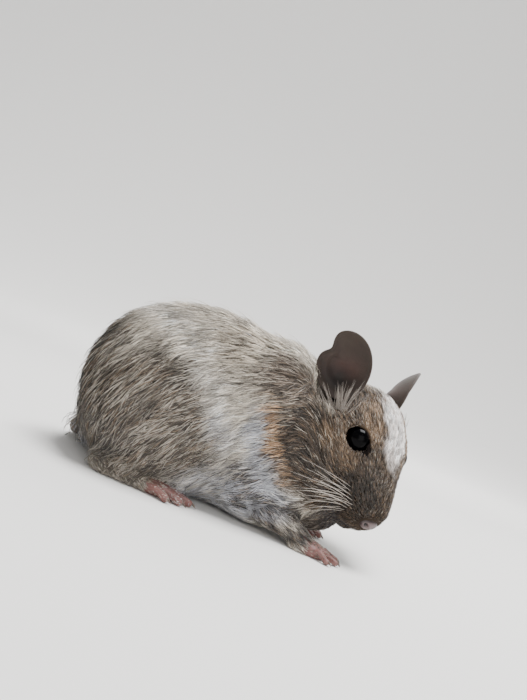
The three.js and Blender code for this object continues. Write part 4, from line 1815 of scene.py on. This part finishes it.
    def tail_way(self, points: Array) -> tuple[Array, Array]:
        """The tail's direction, and the share of its length, at the nearest of its steps.

        Args:
            points: Places, one to a row, in millimetres.

        Returns:
            One unit way to a place, and one share from 0 at the root to 1 at the tip.
        """
        line = self.degu.tail_line
        nearest = ((points[:, None] - line[None]) ** 2).sum(axis=2).argmin(axis=1)
        return unit(np.gradient(line, axis=0))[nearest], nearest / (len(line) - 1)

    def lengths(self, roots: Roots) -> tuple[Array, Array, Array]:
        """The length, width and lift of the tuft at each root.

        Args:
            roots: The roots.

        Returns:
            The lengths and widths in millimetres, and the lifts as shares of the lengths.
        """
        p, kind = roots.points, roots.regions
        q = self.degu.head.local(p)
        length = mixed(self.rump_length, self.shoulder_length, smooth_step((p[:, 0] + 15) / 38.0))
        length = mixed(length, self.belly_length, smooth_step((9 - p[:, 2]) / 6.0))
        head = kind == Region.HEAD.value
        crown = mixed(self.nape_length, self.brow_length, smooth_step((q[:, 0] + 50) / 22.0))
        crown = mixed(crown, self.muzzle_length, smooth_step((q[:, 0] + 26) / 18.0))
        length[head] = crown[head]
        arm = kind == Region.ARM.value
        length[arm] = mixed(self.heel_length, self.arm_length, smooth_step((p[arm, 0] + 12) / 6))
        length[kind == Region.PAW.value] = self.paw_length
        tail = kind == Region.TAIL.value
        if tail.any():
            along = self.tail_way(p[tail])[1]
            brush = mixed(self.tail_length, self.brush_length, smooth_step((along - 0.66) / 0.12))
            length[tail] = mixed(brush, self.tip_length, smooth_step((along - 0.93) / 0.07))
        for side in Side:
            length = np.minimum(length, 0.9 + 0.5 * np.maximum(self.degu.lids[side].distance(p), 0.0))
            hollow = self.degu.ear_hollow(side).distance(p)
            length = np.minimum(length, np.maximum(2.4, 2.0 + 0.8 * hollow))
        length = np.minimum(length, np.maximum(0.8, 0.7 + 0.5 * self.degu.nose_pad.distance(p)))
        length = length * self.rng.uniform(0.78, 1.18, len(p))
        guard = (self.rng.random(len(p)) < self.guard_share) & (kind == Region.BODY.value)
        length[guard] *= 1.2
        width = (0.15 + 0.017 * length) * np.where(guard, 0.6, 1.0)
        lift = mixed(0.26, 0.36, smooth_step((length - 2.0) / 6.0)) * self.rng.uniform(0.45, 1.15, len(p))
        lift = lift * (1.0 + 0.25 * ripple(p, 4.0, 41))
        depth = self.skin.coat_depth(p)
        lift = np.minimum(lift, np.where(guard, 1.5, 1.08) * depth / length)
        lift[tail] = 0.24 * self.rng.uniform(0.3, 1.15, tail.sum())
        lift[kind == Region.PAW.value] = 0.12
        return length, width, lift

    def shades(self, roots: Roots, middles: Array) -> tuple[Array, Array]:
        """The colours of each tuft's shaft and tip.

        The marking at the tuft's middle is varied hair by hair, with dark, tan and pale hairs mixed in.

        Args:
            roots: The roots.
            middles: The places of the tufts' middles.

        Returns:
            The linear colours of the tufts' shafts and of their tips.
        """
        p, kind = roots.points, roots.regions
        base = self.markings.colours(middles)
        count = len(p)
        lum = base.mean(axis=1)
        head = kind == Region.HEAD.value
        dark_share = np.where(head, 0.38, 0.4) * smooth_step((0.62 - lum) / 0.4)
        muzzle = smooth_step((self.degu.head.local(p)[:, 0] + 20.0) / 8.0)
        tan_share = np.where(head, mixed(0.3, 0.14, muzzle), 0.1) * smooth_step((0.5 - lum) / 0.3)
        draw = self.rng.random(count)
        colours = base * self.rng.normal(1.0, 0.26, (count, 1)).clip(0.4, 1.6)
        colours = colours * (1 + 0.2 * ripple(p, 2.6, 51))[:, None]
        dark = draw < dark_share
        tan = (draw >= dark_share) & (draw < dark_share + tan_share)
        body = kind == Region.BODY.value
        neck = smooth_step((p[:, 0] - 4.0) / 10.0)
        # Fewer pale hairs towards the rump: its darker fur, and painted shade there.
        rump_fur_and_shade = smooth_step((-40.0 - p[:, 0]) / 14.0)
        pale = draw > np.where(body, mixed(mixed(0.74, 0.93, neck), 0.9, rump_fur_and_shade), mixed(0.93, 0.98, muzzle))
        colours[dark] = mixed(colours[dark], Hue.DARK_BROWN.colour, 0.8)
        colours[tan] = mixed(colours[tan], Hue.TAN.colour, 0.6)
        colours[pale] = mixed(colours[pale], Hue.CREAM.colour, 0.7)
        tips = colours * self.rng.uniform(0.8, 1.25, (count, 1))
        tail = kind == Region.TAIL.value
        if tail.any():
            share = self.tail_way(p[tail])[1]
            black = mixed(colours[tail], Hue.BLACK.colour, smooth_step((share - 0.5) / 0.2)[:, None] * 0.92)
            colours[tail] = black
            tips[tail] = black * 0.9
        return np.clip(colours, 0, 1), np.clip(tips, 0, 1)

    def unwrap(self, points: Array, region: Region) -> Array:
        """Where a root lies on an unwrap of the skin: longitude and latitude about its region's long axis.

        Args:
            points: Places, one to a row, in millimetres.
            region: The part of the body.

        Returns:
            One pair to a place, each from 0 to 1.
        """
        if region is Region.HEAD:
            basis = Basis.of(self.degu.head.at(-27, 0, 0), self.degu.head.forward, self.degu.head.left)
        else:
            basis = Basis.of([-8, 0, 26], [1, 0, 0], [0, 1, 0])
        q = unit(basis.local(points))
        longitude = np.arctan2(q[:, 1], q[:, 2]) / (2 * math.pi) + 0.5
        latitude = np.arccos(np.clip(q[:, 0], -1, 1)) / math.pi
        return np.stack([longitude, latitude], axis=1) * 0.99 + 0.002

    def tufts(self, roots: Roots, region: Region) -> Tufts:
        """All that the tufts at these roots need.

        Args:
            roots: The roots.
            region: The part of the body.

        Returns:
            One tuft to a root.
        """
        length, width, lift = self.lengths(roots)
        bend = self.rng.normal(0, 0.1, len(roots))
        lie = self.lie(roots)
        colours, tips = self.shades(roots, roots.points + lie * (0.6 * length)[:, None])
        middles, number = self.clumps(roots.points, 0.05 if region is Region.BODY else 0.08)
        pull = middles - roots.points
        pull = pull - roots.normals * (pull * roots.normals).sum(axis=1)[:, None]
        lie = unit(lie + pull * (np.minimum(0.7, 0.22 * length) / length)[:, None])
        tone = self.rng.normal(1.0, 0.25, number.max() + 1).clip(0.6, 1.4)[number][:, None]
        lift = lift * self.rng.uniform(0.75, 1.15, number.max() + 1)[number]
        return Tufts(
            roots.points, roots.normals, lie, length, width, lift, bend,
            np.clip(colours * tone, 0, 1), np.clip(tips * tone, 0, 1), self.unwrap(roots.points, region),
        )

    def grow(self, place: Placer, shape: Shape, regions: Array) -> None:
        """Makes every coat piece, each region split so that no piece has more than most triangles.

        Args:
            place: What makes the meshes and links the objects.
            shape: The skin.
            regions: The Region number of each of its points.
        """
        roots = self.scattered(shape, regions)
        long_tufts = TuftBuilder(self.skin)
        short_tufts = TuftBuilder(self.skin, (0.0, 0.5), (0.9, 0.85))
        plans = [
            (Region.BODY, long_tufts, "body_fur"),
            (Region.HEAD, short_tufts, "head_fur"),
            (Region.ARM, short_tufts, "body_fur"),
            (Region.PAW, short_tufts, "paws"),
            (Region.TAIL, long_tufts, "tail"),
        ]
        for region, builder, slot in plans:
            here = roots.kept(roots.regions == region.value)
            if not len(here):
                continue
            here = here.kept(np.argsort(here.points[:, 0], kind="stable"))
            tufts = self.tufts(here, region)
            each = len(builder.steps) * 6 - 2
            parts = math.ceil(len(here) * each / self.most)
            for i, chosen in enumerate(np.array_split(np.arange(len(here)), parts)):
                name = f"coat_{region.name.lower()}_{i + 1}"
                self.piece(place, name, builder, tufts.kept(chosen), slot)

    def piece(self, place: Placer, name: str, builder: TuftBuilder, tufts: Tufts, slot: str) -> None:
        """One coat piece with its colours and its OFBake map.

        Args:
            place: What makes the meshes and links the objects.
            name: What the piece is called.
            builder: What gives the tufts their shape.
            tufts: The tufts.
            slot: A slot name, passed on to the linking.
        """
        shape, colours, uv = builder.shape(tufts)
        data = place.mesh(name, shape)
        paint(data, colours)
        layer = data.uv_layers.new(name="OFBake")
        layer.data.foreach_set("uv", uv.astype(np.float32).ravel())
        place.link(name, data, self.fur, slot)


def hair_piece(
    place: Placer, name: str, hairs: Sequence[Shape], hue: Hue, finish: bpy.types.Material
) -> None:
    """One piece of many fine hairs of one colour.

    Args:
        place: What makes the meshes and links the objects.
        name: What the piece is called.
        hairs: The shape of each hair.
        hue: Their colour.
        finish: Their material.
    """
    whole = merged(hairs)
    data = place.mesh(name, whole)
    paint(data, np.tile(hue.colour, (len(whole.points), 1)))
    place.link(name, data, finish, "head_fur")


@dataclass(frozen=True)
class Whiskers:
    """Long fine hairs that sweep back from the whisker pads."""

    degu: Degu
    form: SkinForm
    seed: int = 9
    rows: int = 5
    columns: int = 5
    root_radius: float = 0.056
    tip_radius: float = 0.015
    far_share: float = 0.62
    far_sweep: float = 0.5

    def build(self, place: Placer) -> None:
        """Each whisker is a thin round profile carried along root + L·(s·way + s²·droop).

        Args:
            place: What makes the meshes and links the objects.
        """
        rng = np.random.default_rng(self.seed)
        finish = WHISKER.material()
        head = self.degu.head
        s = np.linspace(0, 1, 14)[:, None]
        for side in Side:
            out = side.value
            back, share = (0.0, 1.0) if side is Side.RIGHT else (self.far_sweep, self.far_share)
            grid = np.meshgrid(np.arange(self.rows), np.arange(self.columns), indexing="ij")
            row, column = (part.ravel() for part in grid)
            roots = head.at(-5.5 - 1.7 * column, 7.5 * out, -5.6 + 1.35 * row + 0.3 * column)
            roots = settled(self.form, roots, 0.0, 5)
            hairs = []
            for root, i, j in zip(roots, row, column):
                length = rng.uniform(19, 28) * (0.7 + 0.11 * j) * share
                way = head.turned(0.1 - 0.09 * i - back, out, -0.15 + 0.03 * i)
                way = unit(way + rng.normal(0, 0.06, 3))
                droop = head.turned(rng.uniform(-0.12, 0.1) - back, -0.16 * out, rng.uniform(-0.24, -0.1))
                line = root + length * (s * way + s * s * droop)
                line[:, 2] = np.maximum(line[:, 2], 0.4)
                radii = self.root_radius * (1 - s[:, 0]) ** 0.8 + self.tip_radius
                hairs.append(carried_profile(line, radii, 5, 1.0, head.up))
            hair_piece(place, side.name.lower() + "_whiskers", hairs, Hue.WHISKER, finish)


@dataclass(frozen=True)
class EarDown:
    """Locks of long pale hairs that fan out from the fur at the foot of each ear, across the cup."""

    degu: Degu
    form: SkinForm
    count: int = 84
    locks: int = 8
    seed: int = 17
    root_radius: float = 0.06
    tip_radius: float = 0.016

    def build(self, place: Placer) -> None:
        """Each hair is a thin round profile carried along root + L·(s·way + s²·curl).

        Args:
            place: What makes the meshes and links the objects.
        """
        rng = np.random.default_rng(self.seed)
        finish = WHISKER.material()
        s = np.linspace(0, 1, 9)[:, None]
        for side in Side:
            ear = self.degu.ear(side)
            out = side.value
            lock = rng.integers(0, self.locks, self.count)
            middles = np.linspace(-0.8, 4.6, self.locks) + rng.normal(0, 0.2, self.locks)
            fans = 0.19 * (middles - 2.0) + rng.normal(0, 0.14, self.locks)
            reaches = rng.uniform(8.5, 13.5, self.locks)
            across = middles[lock] + rng.normal(0, 0.45, self.count)
            roots = ear.at(rng.uniform(-7.8, -4.2, self.count), 8.0, -out * across)
            roots = settled(self.form, roots, -0.2, 4)
            hairs = []
            for root, u, k in zip(roots, across, lock):
                length = reaches[k] * rng.uniform(0.55, 1.08)
                fan = fans[k] - 0.06 * (u - middles[k]) + rng.normal(0, 0.05)
                way = unit(ear.turned(1.0, rng.uniform(-0.12, 0.12), -out * fan))
                curl = ear.turned(0.0, -0.28, -out * (0.12 * fan + rng.normal(0, 0.04)))
                line = root + length * (s * way + s * s * curl)
                radii = self.root_radius * (1 - s[:, 0]) ** 0.7 + self.tip_radius
                hairs.append(carried_profile(line, radii, 4, 1.0, ear.left))
            hair_piece(place, side.name.lower() + "_ear_down", hairs, Hue.DOWN, finish)


# The studio


@dataclass(frozen=True)
class Lamp:
    """A square area light, in metres and watts, that looks at a target."""

    name: str
    where: tuple[float, float, float]
    target: tuple[float, float, float]
    size: float
    power: float

    def hang(self) -> None:
        """Adds the light to the scene."""
        light = bpy.data.lights.new(self.name, "AREA")
        light.shape = "SQUARE"
        light.size = self.size
        light.energy = self.power
        obj = bpy.data.objects.new(self.name, light)
        obj.location = self.where
        obj.rotation_euler = (Vector(self.target) - Vector(self.where)).to_track_quat("-Z", "Y").to_euler()
        bpy.context.scene.collection.objects.link(obj)


MODEL_MIDDLE = (0.0, 0.0, 0.03)
LAMPS = (
    Lamp("key", (0.12, 0.02, 0.85), MODEL_MIDDLE, 0.45, 16.0),
    Lamp("fill", (0.25, -0.95, 0.4), MODEL_MIDDLE, 0.8, 4.5),
    Lamp("back", (0.3, 0.6, 0.6), MODEL_MIDDLE, 0.5, 4.0),
    Lamp("backdrop", (0.0, 0.6, 1.0), (0.0, 2.0, 0.6), 1.2, 22.0),
)


@dataclass(frozen=True)
class Studio:
    """A pale floor that curves up into a wall all round, soft lights, and the camera."""

    place: Placer
    focal_pixels: float = 800.0
    image_height: float = 700.0
    roll_degrees: float = 22.0
    eye_point: tuple[float, float, float] = (-1.35, -300.0, 59.6)
    sky: tuple[float, float, float, float] = (0.93, 0.95, 1.0, 1.0)
    sky_strength: float = 0.42
    flat_radius: float = 0.8
    curve_radius: float = 1.4
    wall_height: float = 2.6
    floor_colour: tuple[float, float, float, float] = (0.8, 0.79, 0.77, 1.0)

    def build(self) -> None:
        """Makes the stage, the lights and the camera."""
        self.floor()
        for lamp in LAMPS:
            lamp.hang()
        world = bpy.data.worlds.new("studio_air")
        world.use_nodes = True
        world.node_tree.nodes["Background"].inputs["Color"].default_value = self.sky
        world.node_tree.nodes["Background"].inputs["Strength"].default_value = self.sky_strength
        bpy.context.scene.world = world
        self.camera()

    def floor(self) -> None:
        """A profile turned about Z: flat, then a quarter circle r·(sin a, 1 - cos a), then a wall."""
        around = 96
        arc = np.linspace(0, math.pi / 2, 24)
        curve = self.curve_radius
        edge = self.flat_radius + curve
        radius = np.concatenate([[0.001, 0.3, 0.6], self.flat_radius + curve * np.sin(arc), [edge]])
        height = np.concatenate([np.zeros(3), curve - curve * np.cos(arc), [self.wall_height]])
        turn = np.linspace(0, 2 * math.pi, around, endpoint=False)
        rings = np.stack(
            [
                np.outer(radius, np.cos(turn)),
                np.outer(radius, np.sin(turn)),
                np.outer(height, np.ones(around)),
            ],
            axis=-1,
        )
        i, j = np.meshgrid(np.arange(len(radius) - 1), np.arange(around), indexing="ij")
        low, high, after = i * around, (i + 1) * around, (j + 1) % around
        faces = np.stack([low + j, high + j, high + after, low + after], -1).reshape(-1, 4)
        data = bpy.data.meshes.new("floor")
        data.from_pydata(rings.reshape(-1, 3).tolist(), [], [*faces.tolist(), list(range(around))])
        data.polygons.foreach_set("use_smooth", np.full(len(data.polygons), True))
        finish = bpy.data.materials.new("pale_floor")
        finish.use_nodes = True
        shader = finish.node_tree.nodes["Principled BSDF"]
        shader.inputs["Base Color"].default_value = self.floor_colour
        shader.inputs["Roughness"].default_value = 0.9
        data.materials.append(finish)
        obj = bpy.data.objects.new("floor", data)
        bpy.context.scene.collection.objects.link(obj)

    def camera(self) -> None:
        """A level camera on the animal's right, rolled as the photo is, with the photo's angle of view."""
        roll = math.radians(self.roll_degrees)
        right = Vector((math.cos(roll), 0, math.sin(roll)))
        up = Vector((-math.sin(roll), 0, math.cos(roll)))
        back = Vector((0, -1, 0))
        lens = bpy.data.cameras.new("camera")
        lens.sensor_width = 36.0
        lens.lens = self.focal_pixels / self.image_height * lens.sensor_width
        lens.clip_start = 0.005
        lens.clip_end = 20.0
        obj = bpy.data.objects.new("camera", lens)
        turn = Matrix((right, up, back)).transposed().to_4x4()
        place = Vector(self.place.placed(np.array([self.eye_point]))[0])
        obj.matrix_world = Matrix.Translation(place) @ turn
        bpy.context.scene.collection.objects.link(obj)
        bpy.context.scene.camera = obj


def main() -> None:
    """Builds the studio, the skin, its bare parts and the coat, in that order."""
    logging.basicConfig(level=logging.INFO, format="%(message)s")
    LOG.info("packed nodes: %d", len(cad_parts))
    degu = Degu()
    place = Placer(degu)
    Studio(place).build()
    form = SkinForm(degu)
    markings = Markings(degu)
    skin = Skin(degu, form)
    shape = skin.build(place, markings)
    Eyes(degu).build(place)
    Nose(degu).build(place)
    Claws(degu).build(place)
    Coat(degu, form, markings).grow(place, shape, skin.region_of(shape.points))
    Whiskers(degu, form).build(place)
    EarDown(degu, form).build(place)
    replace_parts(bpy.data.objects["coat_tail_1"], "tail_brush")


if __name__ == "__main__":
    main()
